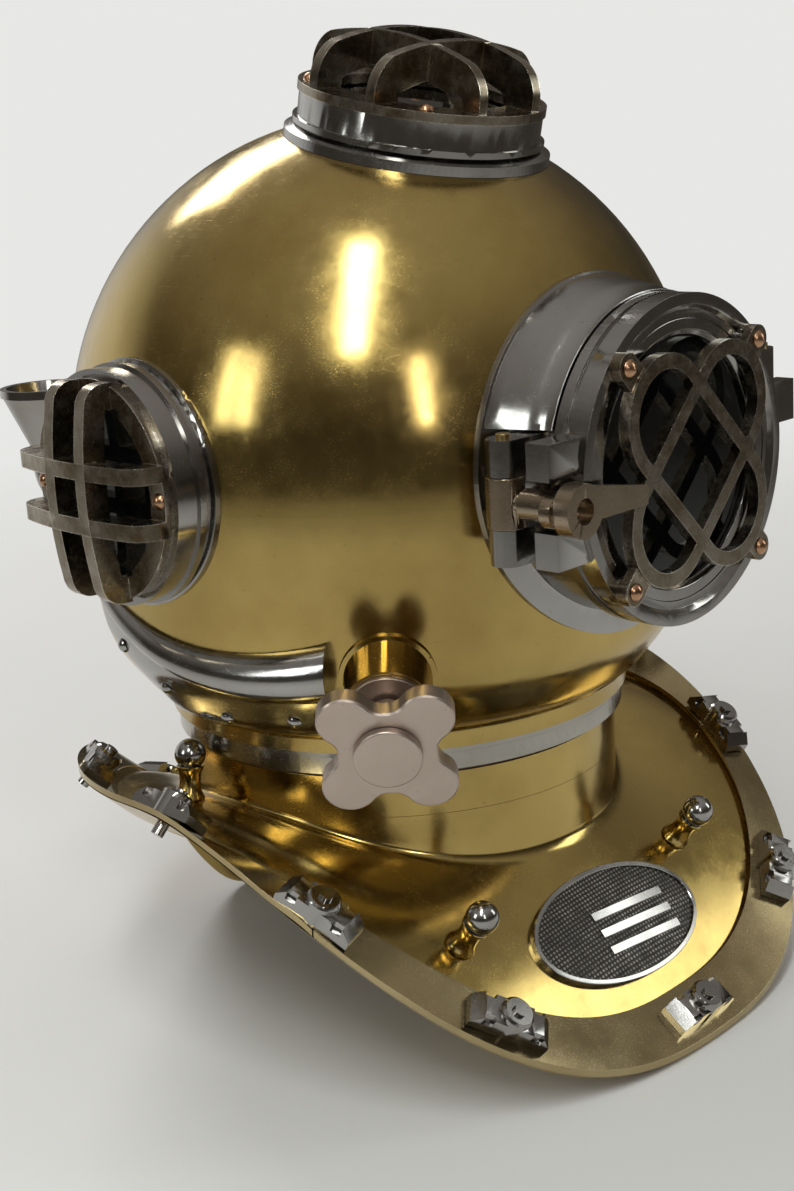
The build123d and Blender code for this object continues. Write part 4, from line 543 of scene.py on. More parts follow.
class Look(Enum):
    """The finishes of the helmet, one for each material slot."""

    HELMET_BRASS = PolishedMetal("helmet_brass", (0.48, 0.35, 0.12), (0.26, 0.16, 0.045), roughness=0.13,
                                 tarnish_share=0.5, dent_depth=0.25 * MM)
    FITTING_BRASS = PolishedMetal("fitting_brass", (0.52, 0.38, 0.18), (0.28, 0.18, 0.08), roughness=0.24)
    PALE_BRASS = PolishedMetal("pale_brass", (0.46, 0.37, 0.20), (0.22, 0.15, 0.07), roughness=0.15,
                               tarnish_share=0.55)
    BRONZE = PolishedMetal("bronze", (0.36, 0.29, 0.21), (0.18, 0.12, 0.07), roughness=0.20)
    DULL_SILVER = PolishedMetal("dull_silver", (0.40, 0.38, 0.34), (0.22, 0.17, 0.11), roughness=0.15)
    NICKEL = PolishedMetal("nickel", (0.38, 0.37, 0.355), (0.17, 0.13, 0.085), roughness=0.11)
    SATIN_NICKEL = PolishedMetal("satin_nickel", (0.52, 0.43, 0.37), (0.33, 0.24, 0.19), roughness=0.34,
                                 dent_depth=0.1 * MM)
    GUNMETAL = CastMetal("gunmetal", (0.30, 0.265, 0.21), (0.17, 0.125, 0.075), (0.85, 0.80, 0.70),
                         roughness=0.15, pit_depth=0.03 * MM, edge=0.8 * MM)
    COPPER = PolishedMetal("copper", (0.50, 0.29, 0.17), (0.26, 0.12, 0.06), roughness=0.22)
    PLATE_METAL = HatchedMetal("plate_metal", (0.05, 0.046, 0.042), (0.40, 0.37, 0.33))
    # Port glass tint: the slight green of thick glass, darkened almost to black as painted shade for the dark
    # inside of the helmet seen through it.
    PORT_GLASS = PortGlass("port_glass", (0.022, 0.026, 0.025))
    BLACK_RUBBER = SoftSeal("black_rubber", (0.03, 0.03, 0.03), (0.09, 0.085, 0.08))
    NECK_LEATHER = SoftSeal("neck_leather", (0.13, 0.07, 0.04), (0.24, 0.14, 0.08), grain=420)
    SPRING_STEEL = PolishedMetal("spring_steel", (0.45, 0.45, 0.46), (0.24, 0.2, 0.17), roughness=0.3)


class Workshop:
    """Builds finished pieces from the frame's nodes and keeps one material for each look."""

    def __init__(self, nodes: dict[str, bpy.types.Object]) -> None:
        """Takes the frame's nodes.

        Args:
            nodes: The frame's nodes by name.
        """
        self.nodes = nodes
        self.materials: dict[Look, bpy.types.Material] = {}

    def material(self, look: Look) -> bpy.types.Material:
        """The material of a look, made at its first use.

        Args:
            look: The finish.

        Returns:
            The material.
        """
        if look not in self.materials:
            self.materials[look] = look.value.build()
        return self.materials[look]

    def finished(self, name: str, body: str, look: Look, shape: bmesh.types.BMesh,
                 stands_for: tuple[str, ...] = (), smooth_angle: float = SHARP_ANGLE) -> bpy.types.Object:
        """Turns a mesh into a piece that rides on its body.

        Args:
            name: The piece's name.
            body: The body that it rides on.
            look: The finish.
            shape: The mesh, freed here.
            stands_for: The frame nodes that it replaces.
            smooth_angle: Edges sharper than this stay sharp, in degrees.

        Returns:
            The piece.
        """
        mesh = bpy.data.meshes.new(name)
        shape.to_mesh(mesh)
        shape.free()
        mesh.polygons.foreach_set("use_smooth", [True] * len(mesh.polygons))
        mesh.set_sharp_from_angle(angle=math.radians(smooth_angle))
        mesh.materials.append(self.material(look))
        piece = bpy.data.objects.new(name, mesh)
        bpy.context.scene.collection.objects.link(piece)
        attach(piece, body)
        if stands_for:
            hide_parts(*stands_for)
        LOG.info("%s: %d faces on %s", name, len(mesh.polygons), body)
        return piece

    def merged_copy(self, node: str) -> bmesh.types.BMesh:
        """A frame node's mesh as one skin, with its flat faces joined.

        Args:
            node: The node's name.

        Returns:
            The merged mesh.
        """
        shape = bmesh.new()
        shape.from_mesh(self.nodes[node].data)
        bmesh.ops.remove_doubles(shape, verts=shape.verts, dist=MERGE_DISTANCE)
        bmesh.ops.dissolve_limit(shape, angle_limit=math.radians(FLAT_ANGLE), use_dissolve_boundaries=False,
                                 verts=shape.verts, edges=shape.edges)
        return shape

    def keep_normals(self, mesh: bpy.types.Mesh, node: str) -> None:
        """Gives a merged copy the true surface normals of its frame node.

        Args:
            mesh: The merged copy.
            node: The node's name.
        """
        source = self.nodes[node].data
        tree = kdtree.KDTree(len(source.vertices))
        for vertex in source.vertices:
            tree.insert(vertex.co, vertex.index)
        tree.balance()
        held: dict[int, list[Vector]] = {vertex.index: [] for vertex in source.vertices}
        for loop, normal in zip(source.loops, source.corner_normals):
            held[loop.vertex_index].append(normal.vector.copy())
        near = [
            [normal for _, index, _ in tree.find_range(vertex.co, SAME_PLACE) for normal in held[index]]
            for vertex in mesh.vertices
        ]
        normals: list[Vector] = []
        for face in mesh.polygons:
            for index in face.vertices:
                best = max(near[index], key=face.normal.dot, default=face.normal)
                normals.append(best if best.dot(face.normal) > LOWEST_MATCH else face.normal.copy())
        mesh.normals_split_custom_set(normals)


@dataclass(frozen=True)
class Piece:
    """How one frame node is finished."""

    node: str
    look: Look
    rounding: float = 0.35 * MM
    segments: int = 2
    angle: float = SHARP_ANGLE


@dataclass
class SubAssembly:
    """One body of the helmet and the pieces that ride on it."""

    shop: Workshop
    body: str
    pieces: tuple[Piece, ...] = ()

    def dress(self) -> list[bpy.types.Object]:
        """Finishes every piece of the body.

        Returns:
            The new pieces.
        """
        made = [self.rounded(piece) for piece in self.pieces]
        return made + self.details()

    def rounded(self, piece: Piece) -> bpy.types.Object:
        """Replaces a frame node by a copy with rounded edges.

        Args:
            piece: How the node is finished.

        Returns:
            The new piece.
        """
        shape = self.shop.merged_copy(piece.node)
        made = self.shop.finished(f"{piece.node}_finished", self.body, piece.look, shape,
                                  (piece.node,), piece.angle)
        if piece.rounding:
            bevel = made.modifiers.new("rounding", "BEVEL")
            bevel.limit_method = "ANGLE"
            bevel.angle_limit = math.radians(piece.angle)
            bevel.width = piece.rounding
            bevel.segments = piece.segments
            bevel.use_clamp_overlap = True
            bevel.harden_normals = True
        return made

    def details(self) -> list[bpy.types.Object]:
        """Finer work that the frame leaves out.

        Returns:
            The new pieces.
        """
        return []


@dataclass
class BreastplateSheet:
    """The breastplate's sheet measured from the frame and laid out as an even grid with a rounded fold."""

    mesh: bpy.types.Mesh
    brails: tuple[bpy.types.Mesh, ...]
    stations: int = 300
    neck_steps: int = 5
    fold_steps: int = 8
    flare_steps: int = 44
    flange_steps: int = 6
    seam_bins: int = 72
    samples: int = 36
    fit_span: tuple[float, float] = (0.02, 0.97)
    fit_rounds: int = 3
    fold_height: float = 3.5 * MM
    fold_reach: float = 4.5 * MM
    blur: float = 2.0
    blur_reach: int = 8
    clear: float = 0.4 * MM
    misfit: float = 0.5 * MM
    widest: float = 0.22
    thickest: float = 6 * MM

    def __post_init__(self) -> None:
        """Measures the neck, the rim, the seam and the flare at every bearing."""
        points = np.array([vertex.co for vertex in self.mesh.vertices])
        radii = np.hypot(points[:, 0], points[:, 1])
        inner = radii.min()
        self.top = points[radii < inner + self.clear, 2].max()
        self.low = points[:, 2].min()
        at_top = np.abs(points[:, 2] - self.top) < SAME_PLACE
        self.neck = radii[at_top & (radii < inner + self.thickest)].max()
        self.sheet = self.neck - inner
        faces = [tuple(face.vertices) for face in self.mesh.polygons]
        self.tree = BVHTree.FromPolygons([tuple(point) for point in points], faces)
        self.angles = np.arange(self.stations) * math.tau / self.stations
        self.rim = self.even([self.rim_radius(angle) for angle in self.angles])
        self.seam = self.seam_radii()
        self.flare = self.even([self.flare_fit(*place) for place in zip(self.angles, self.seam)])
        self.rim_height = self.even([
            self.height(angle, radius - self.clear) for angle, radius in zip(self.angles, self.rim)
        ])

    def even(self, values: list) -> np.ndarray:
        """Smooths values round the neck.

        Args:
            values: One value or row for each bearing.

        Returns:
            The smoothed values.
        """
        rows = np.array(values, dtype=float)
        steps = np.arange(-self.blur_reach, self.blur_reach + 1)
        weights = np.exp(-((steps / self.blur) ** 2) / 2)
        weights = weights / weights.sum()
        return sum(weight * np.roll(rows, step, axis=0) for step, weight in zip(steps, weights))

    def height(self, angle: float, radius: float) -> float:
        """Height of the sheet's top.

        Args:
            angle: The bearing from the front in radians.
            radius: The distance from the neck axis.

        Returns:
            The height, or nan beside the sheet.
        """
        start = Vector((radius * math.sin(angle), -radius * math.cos(angle), 1))
        hit = self.tree.ray_cast(start, Vector((0, 0, -1)))[0]
        return hit.z if hit else math.nan

    def rim_radius(self, angle: float) -> float:
        """Radius of the rim.

        Args:
            angle: The bearing from the front in radians.

        Returns:
            The radius.
        """
        inside = self.widest
        while math.isnan(self.height(angle, inside)):
            inside -= MM
        outside = inside + MM
        while outside - inside > MM / 100:
            middle = (inside + outside) / 2
            if math.isnan(self.height(angle, middle)):
                outside = middle
            else:
                inside = middle
        return inside

    def seam_radii(self) -> np.ndarray:
        """Radius of the brails' inner edge at every bearing.

        Returns:
            The radii.
        """
        points = np.array([vertex.co for mesh in self.brails for vertex in mesh.vertices])
        turns = np.arctan2(points[:, 0], -points[:, 1]) % math.tau
        radii = np.hypot(points[:, 0], points[:, 1])
        bins = np.linspace(0, math.tau, self.seam_bins + 1)
        middles, nearest = [], []
        for low, high in zip(bins[:-1], bins[1:]):
            inside = (turns >= low) & (turns < high)
            if inside.any():
                middles.append((low + high) / 2)
                nearest.append(radii[inside].min())
        return self.even(np.interp(self.angles, middles, nearest, period=math.tau))

    def flare_fit(self, angle: float, seam: float) -> np.ndarray:
        """Fits the flare's height between the neck and the seam.

        Args:
            angle: The bearing from the front in radians.
            seam: The seam's radius there.

        Returns:
            The quadratic's three factors.
        """
        shares = np.linspace(*self.fit_span, self.samples)
        heights = np.array([self.height(angle, self.neck + share * (seam - self.neck)) for share in shares])
        kept = ~np.isnan(heights)
        middle = np.median(heights[kept])
        kept[kept] = np.abs(heights[kept] - middle) < np.ptp(heights[kept]) + self.misfit
        for _ in range(self.fit_rounds):
            factors = np.polyfit(shares[kept], heights[kept], 2)
            miss = np.abs(np.polyval(factors, shares) - heights)
            kept = ~np.isnan(heights) & (miss < max(self.misfit, 2 * np.nanmedian(miss)))
        return factors

    def section(self, index: int) -> np.ndarray:
        """Closed outline of the sheet at one bearing.

        Args:
            index: The bearing's number.

        Returns:
            Rows of radius and height.
        """
        seam, factors = self.seam[index], self.flare[index]
        reach = self.fold_reach / (seam - self.neck)
        fold = np.array((self.neck, np.polyval(factors, 0)))
        start = fold + (0, self.fold_height)
        end = np.array((self.neck + self.fold_reach, np.polyval(factors, reach)))
        neck = [(self.neck, height) for height in np.linspace(self.top, start[1], self.neck_steps + 1)[:-1]]
        bends = np.linspace(0, 1, self.fold_steps + 1)[:-1, None]
        bend = (1 - bends) ** 2 * start + 2 * bends * (1 - bends) * fold + bends**2 * end
        shares = np.linspace(reach, 1, self.flare_steps + 1)
        flare = np.stack((self.neck + shares * (seam - self.neck), np.polyval(factors, shares)), axis=1)
        rim = np.array((self.rim[index], self.rim_height[index]))
        flange = flare[-1] + np.linspace(0, 1, self.flange_steps + 1)[1:, None] * (rim - flare[-1])
        outer = np.vstack((neck, bend, flare, flange))
        drop = np.clip((start[1] - outer[:, 1]) / (start[1] - end[1]), 0, 1)
        under = outer - self.sheet * np.stack((np.ones_like(drop), drop), axis=1)
        outline = np.vstack((outer, under[::-1]))
        outline[:, 1] = np.maximum(outline[:, 1], self.low)
        return outline

    def build(self) -> bmesh.types.BMesh:
        """Joins the outlines into one closed skin.

        Returns:
            The mesh.
        """
        shape = bmesh.new()
        rings = []
        for index, angle in enumerate(self.angles):
            across = (math.sin(angle), -math.cos(angle))
            rings.append([
                shape.verts.new((radius * across[0], radius * across[1], height))
                for radius, height in self.section(index)
            ])
        for first, second in zip(rings, rings[1:] + rings[:1]):
            for place in range(len(first)):
                shape.faces.new((first[place - 1], first[place], second[place], second[place - 1]))
        bmesh.ops.recalc_face_normals(shape, faces=shape.faces)
        return shape


@dataclass
class OvalPlate:
    """The oval plate measured from the frame: a hatched ground, a plain rim and three plain bars."""

    mesh: bpy.types.Mesh
    segments: int = 144
    rim_width: float = 2.4 * MM
    rim_height: float = 1.2 * MM
    chamfer: float = 0.3 * MM
    ground_rings: int = 10
    bar_half_length: float = 24.0 * MM
    bar_half_width: float = 2.1 * MM
    bar_height: float = 0.9 * MM
    bar_steps: int = 24
    bar_middle: float = 10 * MM
    bar_rows: tuple[float, ...] = (6 * MM, -2.6 * MM, -11.2 * MM)
    fit_rings: int = 14
    fit_turns: int = 48
    fit_rounds: int = 6
    innermost: float = 0.05
    reach: float = 0.05
    misfit: float = 0.25 * MM

    def __post_init__(self) -> None:
        """Measures the plate's axes, its length and width, and the bend of its ground and back."""
        points = np.array([vertex.co for vertex in self.mesh.vertices])
        along, across, _ = np.linalg.svd(points - points.mean(0), full_matrices=False)[2]
        self.along = along * math.copysign(1, along[0])
        self.across = across * math.copysign(1, across[2])
        self.up = np.cross(self.along, self.across)
        flat = np.stack((points @ self.along, points @ self.across, points @ self.up), axis=1)
        middle = (flat.max(0) + flat.min(0)) / 2
        self.half = (flat.max(0) - flat.min(0)) / 2
        self.origin = middle @ np.stack((self.along, self.across, self.up))
        faces = [tuple(face.vertices) for face in self.mesh.polygons]
        self.tree = BVHTree.FromPolygons([tuple(point) for point in points], faces)
        self.ground = self.bend(1)
        self.back = self.bend(-1)

    def place(self, first: float, second: float, height: float) -> Vector:
        """Turns plate coordinates into a point.

        Args:
            first: The distance along the plate.
            second: The distance across it.
            height: The height over its middle plane.

        Returns:
            The point.
        """
        return Vector(self.origin + first * self.along + second * self.across + height * self.up)

    def bend(self, side: int) -> np.ndarray:
        """Fits the bend of one face.

        Args:
            side: 1 for the front's ground, -1 for the back.

        Returns:
            The six factors of a quadratic surface.
        """
        rows, heights = [], []
        inner = 1 - 2 * self.rim_width / self.half[1]
        for share in np.linspace(self.innermost, inner, self.fit_rings):
            for angle in np.linspace(0, math.tau, self.fit_turns, endpoint=False):
                first, second = share * self.half[:2] * (math.cos(angle), math.sin(angle))
                start = self.place(first, second, side * self.reach)
                hit = self.tree.ray_cast(start, Vector(-side * self.up))[0]
                if hit:
                    rows.append(self.terms(first, second))
                    heights.append(float((np.array(hit) - self.origin) @ self.up))
        rows, heights = np.array(rows), np.array(heights)
        kept = np.ones(len(heights), dtype=bool)
        for _ in range(self.fit_rounds):
            factors = np.linalg.lstsq(rows[kept], heights[kept], rcond=None)[0]
            miss = side * (heights - rows @ factors)
            kept = miss < max(self.misfit, np.median(miss[kept]) + self.misfit)
        return factors

    def terms(self, first: float, second: float) -> tuple[float, ...]:
        """The terms of the quadratic surface.

        Args:
            first: The distance along the plate.
            second: The distance across it.

        Returns:
            The terms.
        """
        return (1, first, second, first * first, first * second, second * second)

    def on_face(self, first: float, second: float, factors: np.ndarray, lift: float) -> Vector:
        """Point on or over a bent face.

        Args:
            first: The distance along the plate.
            second: The distance across it.
            factors: The face's factors.
            lift: The height over the face.

        Returns:
            The point.
        """
        return self.place(first, second, float(np.dot(self.terms(first, second), factors)) + lift)

    def add_rings(self, shape: bmesh.types.BMesh) -> None:
        """Adds the disc with its raised rim.

        Args:
            shape: The mesh to add to.
        """
        width, height, edge = self.rim_width, self.rim_height, self.chamfer
        rows = [
            (0, self.back, 0),
            (0, self.ground, height - edge),
            (edge, self.ground, height),
            (width - edge, self.ground, height),
            (width, self.ground, height - edge),
            (width, self.ground, 0),
        ]
        sizes = [(self.half[:2] - inset, factors, lift) for inset, factors, lift in rows]
        open_ground = sizes[-1][0]
        for step in range(1, self.ground_rings):
            sizes.append((open_ground * (1 - step / self.ground_rings), self.ground, 0))
        turns = [index * math.tau / self.segments for index in range(self.segments)]
        rings = []
        for axes, factors, lift in sizes:
            places = [axes * (math.cos(turn), math.sin(turn)) for turn in turns]
            rings.append([shape.verts.new(self.on_face(*place, factors, lift)) for place in places])
        for row, (first, second) in enumerate(zip(rings, rings[1:])):
            for index in range(self.segments):
                face = shape.faces.new((first[index - 1], first[index], second[index], second[index - 1]))
                face.material_index = int(row < len(rows) - 1)
        for ring, factors in ((rings[-1], self.ground), (rings[0], self.back)):
            hub = shape.verts.new(self.on_face(0, 0, factors, 0))
            for index in range(self.segments):
                shape.faces.new((ring[index - 1], ring[index], hub))

    def add_bar(self, shape: bmesh.types.BMesh, row: float) -> None:
        """Adds one bar.

        Args:
            shape: The mesh to add to.
            row: The bar's distance across the plate from its middle.
        """
        width, height, edge = self.bar_half_width, self.bar_height, self.chamfer
        outline = ((-width, -edge), (-width, height - edge), (edge - width, height),
                   (width - edge, height), (width, height - edge), (width, -edge))
        places = self.bar_middle + np.linspace(-self.bar_half_length, self.bar_half_length, self.bar_steps)
        rings = []
        for along in places:
            points = [self.on_face(along, row + across, self.ground, lift) for across, lift in outline]
            rings.append([shape.verts.new(point) for point in points])
        sides = [
            shape.faces.new((first[index - 1], first[index], second[index], second[index - 1]))
            for first, second in zip(rings, rings[1:]) for index in range(len(outline))
        ]
        for face in sides + [shape.faces.new(rings[0]), shape.faces.new(rings[-1])]:
            face.material_index = 1

    def build(self) -> bmesh.types.BMesh:
        """Makes the plate.

        Returns:
            The mesh, whose second material is the bright one.
        """
        shape = bmesh.new()
        self.add_rings(shape)
        for row in self.bar_rows:
            self.add_bar(shape, row)
        bmesh.ops.recalc_face_normals(shape, faces=shape.faces)
        return shape


@dataclass
class LanyardKnobs:
    """Ball knobs on flared brass stems, turned at the places measured from the frame."""

    mesh: bpy.types.Mesh
    segments: int = 36
    buried: float = 1.0 * MM
    ball_steps: int = 14
    stem: tuple[tuple[float, float], ...] = (
        (4.0, -1.0), (4.0, 0.3), (6.9, 0.3), (7.2, 0.7), (7.1, 1.2), (6.4, 2.4), (5.6, 4.5), (5.1, 8.0),
        (5.1, 11.0), (5.6, 13.2), (6.2, 14.4), (6.5, 15.0), (6.5, 15.8), (6.2, 16.2),
    )

    def islands(self) -> list[np.ndarray]:
        """Splits the frame's mesh into its knobs.

        Returns:
            Each knob's points.
        """
        shape = bmesh.new()
        shape.from_mesh(self.mesh)
        bmesh.ops.remove_doubles(shape, verts=shape.verts, dist=MERGE_DISTANCE)
        left = set(shape.verts)
        groups = []
        while left:
            reached = [left.pop()]
            for vertex in reached:
                for edge in vertex.link_edges:
                    other = edge.other_vert(vertex)
                    if other in left:
                        left.remove(other)
                        reached.append(other)
            groups.append(np.array([vertex.co for vertex in reached]))
        shape.free()
        return groups

    def add_knob(self, shape: bmesh.types.BMesh, points: np.ndarray) -> None:
        """Turns one knob.

        Args:
            shape: The mesh to add to.
            points: The knob's points in the frame.
        """
        middle = points.mean(0)
        axis = np.linalg.svd(points - middle, full_matrices=False)[2][0]
        axis = axis * math.copysign(1, axis[2])
        heights = (points - middle) @ axis
        across = points - middle - heights[:, None] * axis
        centre = middle + (across.max(0) + across.min(0)) / 2
        foot = Vector(centre + (heights.min() + self.buried) * axis)
        top = heights.max() - heights.min() - self.buried
        ball = np.linalg.norm(across - (across.max(0) + across.min(0)) / 2, axis=1).max()
        profile = [(radius * MM, height * MM) for radius, height in self.stem]
        start = math.acos((profile[-1][1] - top + ball) / ball)
        for angle in np.linspace(start, 0, self.ball_steps + 1)[:-1]:
            profile.append((ball * math.sin(angle), top - ball + ball * math.cos(angle)))
        up = Vector(axis)
        right = up.orthogonal().normalized()
        ahead = up.cross(right)
        turns = [index * math.tau / self.segments for index in range(self.segments)]
        rings = [
            [shape.verts.new(foot + up * height + (right * math.cos(turn) + ahead * math.sin(turn)) * radius)
             for turn in turns]
            for radius, height in profile
        ]
        for row, (first, second) in enumerate(zip(rings, rings[1:])):
            for index in range(self.segments):
                face = shape.faces.new((first[index - 1], first[index], second[index], second[index - 1]))
                face.material_index = int(row < len(self.stem) - 1)
        tip = shape.verts.new(foot + up * top)
        for index in range(self.segments):
            shape.faces.new((rings[-1][index - 1], rings[-1][index], tip))
        shape.faces.new(rings[0])

    def build(self) -> bmesh.types.BMesh:
        """Makes every knob.

        Returns:
            The mesh, whose second material is the stems' brass.
        """
        shape = bmesh.new()
        for points in self.islands():
            self.add_knob(shape, points)
        bmesh.ops.recalc_face_normals(shape, faces=shape.faces)
        return shape


@dataclass
class Corselet(SubAssembly):
    """Breastplate, brails, nuts, knobs and the oval plate."""

    body: str = "corselet"
    pieces: tuple[Piece, ...] = (
        Piece("breastplate_neck_ring", Look.HELMET_BRASS),
        Piece("neck_gasket", Look.NECK_LEATHER, 0),
        Piece("brail_front", Look.PALE_BRASS, 0.5 * MM),
        Piece("brail_left", Look.PALE_BRASS, 0.5 * MM),
        Piece("brail_rear", Look.PALE_BRASS, 0.5 * MM),
        Piece("brail_right", Look.PALE_BRASS, 0.5 * MM),
        Piece("brail_studs", Look.NICKEL, 0.5 * MM),
        Piece("wing_nuts", Look.NICKEL, 0.4 * MM),
        Piece("safety_latch_pin", Look.FITTING_BRASS),
    )

    def two_toned(self, node: str, look: Look, second: Look, shape: bmesh.types.BMesh) -> bpy.types.Object:
        """Finishes a mesh that has two materials.

        Args:
            node: The frame node that it replaces.
            look: The first finish.
            second: The second finish.
            shape: The mesh.

        Returns:
            The piece.
        """
        piece = self.shop.finished(f"{node}_finished", self.body, look, shape, (node,))
        piece.data.materials.append(self.shop.material(second))
        return piece

    def details(self) -> list[bpy.types.Object]:
        """Makes the sheet, the oval plate and the knobs from their measures.

        Returns:
            The three pieces.
        """
        nodes = self.shop.nodes
        brails = tuple(nodes[f"brail_{side}"].data for side in ("front", "left", "rear", "right"))
        sheet = BreastplateSheet(nodes["breastplate"].data, brails).build()
        plate = OvalPlate(nodes["name_plate"].data).build()
        knobs = LanyardKnobs(nodes["lanyard_knobs"].data).build()
        return [
            self.shop.finished("breastplate_finished", self.body, Look.HELMET_BRASS, sheet, ("breastplate",)),
            self.two_toned("name_plate", Look.PLATE_METAL, Look.NICKEL, plate),
            self.two_toned("lanyard_knobs", Look.NICKEL, Look.HELMET_BRASS, knobs),
        ]


@dataclass
class BonnetShell(SubAssembly):
    """Bonnet, port collars, hood, goosenecks and the exhaust channel."""

    body: str = "bonnet_shell"
    pieces: tuple[Piece, ...] = (
        Piece("bonnet", Look.HELMET_BRASS, 0),
        Piece("bonnet_neck_ring", Look.DULL_SILVER),
        Piece("front_collar", Look.NICKEL, 0.6 * MM),
        Piece("collar_hood", Look.NICKEL, 1.0 * MM, 3),
        Piece("faceplate_seal", Look.BLACK_RUBBER),
        Piece("hinge_pin", Look.FITTING_BRASS),
        Piece("swing_pin", Look.FITTING_BRASS),
        Piece("exhaust_valve_body", Look.HELMET_BRASS, 0.4 * MM),
        Piece("exhaust_cap", Look.SATIN_NICKEL, 0.5 * MM),
        Piece("exhaust_channel", Look.NICKEL, 0.5 * MM),
        Piece("channel_rivets", Look.NICKEL, 0),
        Piece("air_gooseneck", Look.NICKEL, 0.4 * MM),
        Piece("telephone_gooseneck", Look.NICKEL, 0.4 * MM),
        Piece("exhaust_spring", Look.SPRING_STEEL, 0),
        *(
            piece
            for side in ("right", "left", "top")
            for piece in (
                Piece(f"{side}_port_collar", Look.NICKEL, 0.5 * MM),
                Piece(f"{side}_port_gasket", Look.BLACK_RUBBER),
                Piece(f"{side}_port_glass", Look.PORT_GLASS),
                Piece(f"{side}_port_guard", Look.GUNMETAL, 0.7 * MM, 3),
                Piece(f"{side}_port_screws", Look.COPPER, 0),
            )
        ),
    )
    valve_lift: float = 6 * MM

    def details(self) -> list[bpy.types.Object]:
        """Finds the valve stem's axis and gives the exhaust spring its own mesh; the spring keeps its shape.

        Returns:
            An empty list, since the spring is already finished.
        """
        stem = np.array([vertex.co for vertex in self.shop.nodes["exhaust_stem"].data.vertices])
        middle = stem.mean(0)
        axis = np.linalg.svd(stem - middle, full_matrices=False)[2][0]
        axis = axis * math.copysign(1, axis[0] * middle[0])
        spring = bpy.data.objects["exhaust_spring_finished"]
        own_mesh(spring)
        return []


@dataclass
class Faceplate(SubAssembly):
    """The hinged front port with its glass and guard."""

    body: str = "faceplate"
    pieces: tuple[Piece, ...] = (
        Piece("door_frame", Look.NICKEL, 0.6 * MM),
        Piece("door_gasket", Look.BLACK_RUBBER),
        Piece("door_glass", Look.PORT_GLASS),
        Piece("door_retaining_ring", Look.NICKEL, 0.4 * MM),
        Piece("door_guard", Look.GUNMETAL, 1.2 * MM, 3),
        Piece("door_guard_screws", Look.COPPER, 0.3 * MM),
    )


@dataclass
class SwingLatch(SubAssembly):
    """The swing bolt of the faceplate."""

    body: str = "latch_bolt"
    pieces: tuple[Piece, ...] = (Piece("swing_bolt", Look.BRONZE),)


@dataclass
class LatchLever(SubAssembly):
    """The lever nut on the swing bolt."""

    body: str = "bolt_lever"
    pieces: tuple[Piece, ...] = (Piece("latch_lever", Look.BRONZE, 0.6 * MM, 3),)


@dataclass
class ExhaustWheel(SubAssembly):
    """The four-lobed handwheel."""

    body: str = "exhaust_wheel"
    pieces: tuple[Piece, ...] = (Piece("exhaust_handwheel", Look.SATIN_NICKEL, 1.2 * MM, 4),)


@dataclass
class ExhaustNut(SubAssembly):
    """The adjuster that the handwheel drives."""

    body: str = "exhaust_nut"
    pieces: tuple[Piece, ...] = (Piece("exhaust_adjuster", Look.FITTING_BRASS),)


@dataclass
class ExhaustDisc(SubAssembly):
    """Valve disc, stem and the buttons at its ends."""

    body: str = "exhaust_disc"
    pieces: tuple[Piece, ...] = (
        Piece("exhaust_stem", Look.SPRING_STEEL),
        Piece("chin_button", Look.SATIN_NICKEL, 0.8 * MM, 3),
        Piece("wheel_button", Look.SATIN_NICKEL, 0.9 * MM, 3),
    )


@dataclass
class NeckLock(SubAssembly):
    """The folding lock at the rear of the neck."""

    body: str = "lock_lever"
    pieces: tuple[Piece, ...] = (Piece("safety_latch", Look.FITTING_BRASS, 0.5 * MM),)


@dataclass(frozen=True)
class PhotoCamera:
    """The camera that matches the photograph, with its places in mm and its roll in degrees."""

    place: Triple = (-629.1, -625.9, 287.1)
    aim: Triple = (-8.6, -10.5, 57.0)
    roll: float = -3.608
    pixels_per_radian: float = 1840.3
    picture_height: float = 1191
    sensor: float = 36

    def build(self) -> bpy.types.Object:
        """Adds the camera and makes it the scene's.

        Returns:
            The camera.
        """
        place, aim = Vector(self.place) * MM, Vector(self.aim) * MM
        ahead = (aim - place).normalized()
        level = ahead.cross(Vector((0, 0, 1))).normalized()
        upright = level.cross(ahead)
        turn = math.radians(self.roll)
        right = level * math.cos(turn) + upright * math.sin(turn)
        up = upright * math.cos(turn) - level * math.sin(turn)
        data = bpy.data.cameras.new("photo_camera")
        data.sensor_fit = "VERTICAL"
        data.sensor_height = self.sensor
        data.lens = self.sensor * self.pixels_per_radian / self.picture_height
        camera = bpy.data.objects.new("photo_camera", data)
        axes = Matrix((right, up, -ahead)).transposed()
        camera.matrix_world = Matrix.Translation(place) @ axes.to_4x4()
        bpy.context.scene.collection.objects.link(camera)
        bpy.context.scene.camera = camera
        return camera


@dataclass(frozen=True)
class SoftBox:
    """One rectangular studio lamp."""

    name: str
    place: Triple
    size: tuple[float, float]
    power: float
    tint: Colour = (1, 1, 1)


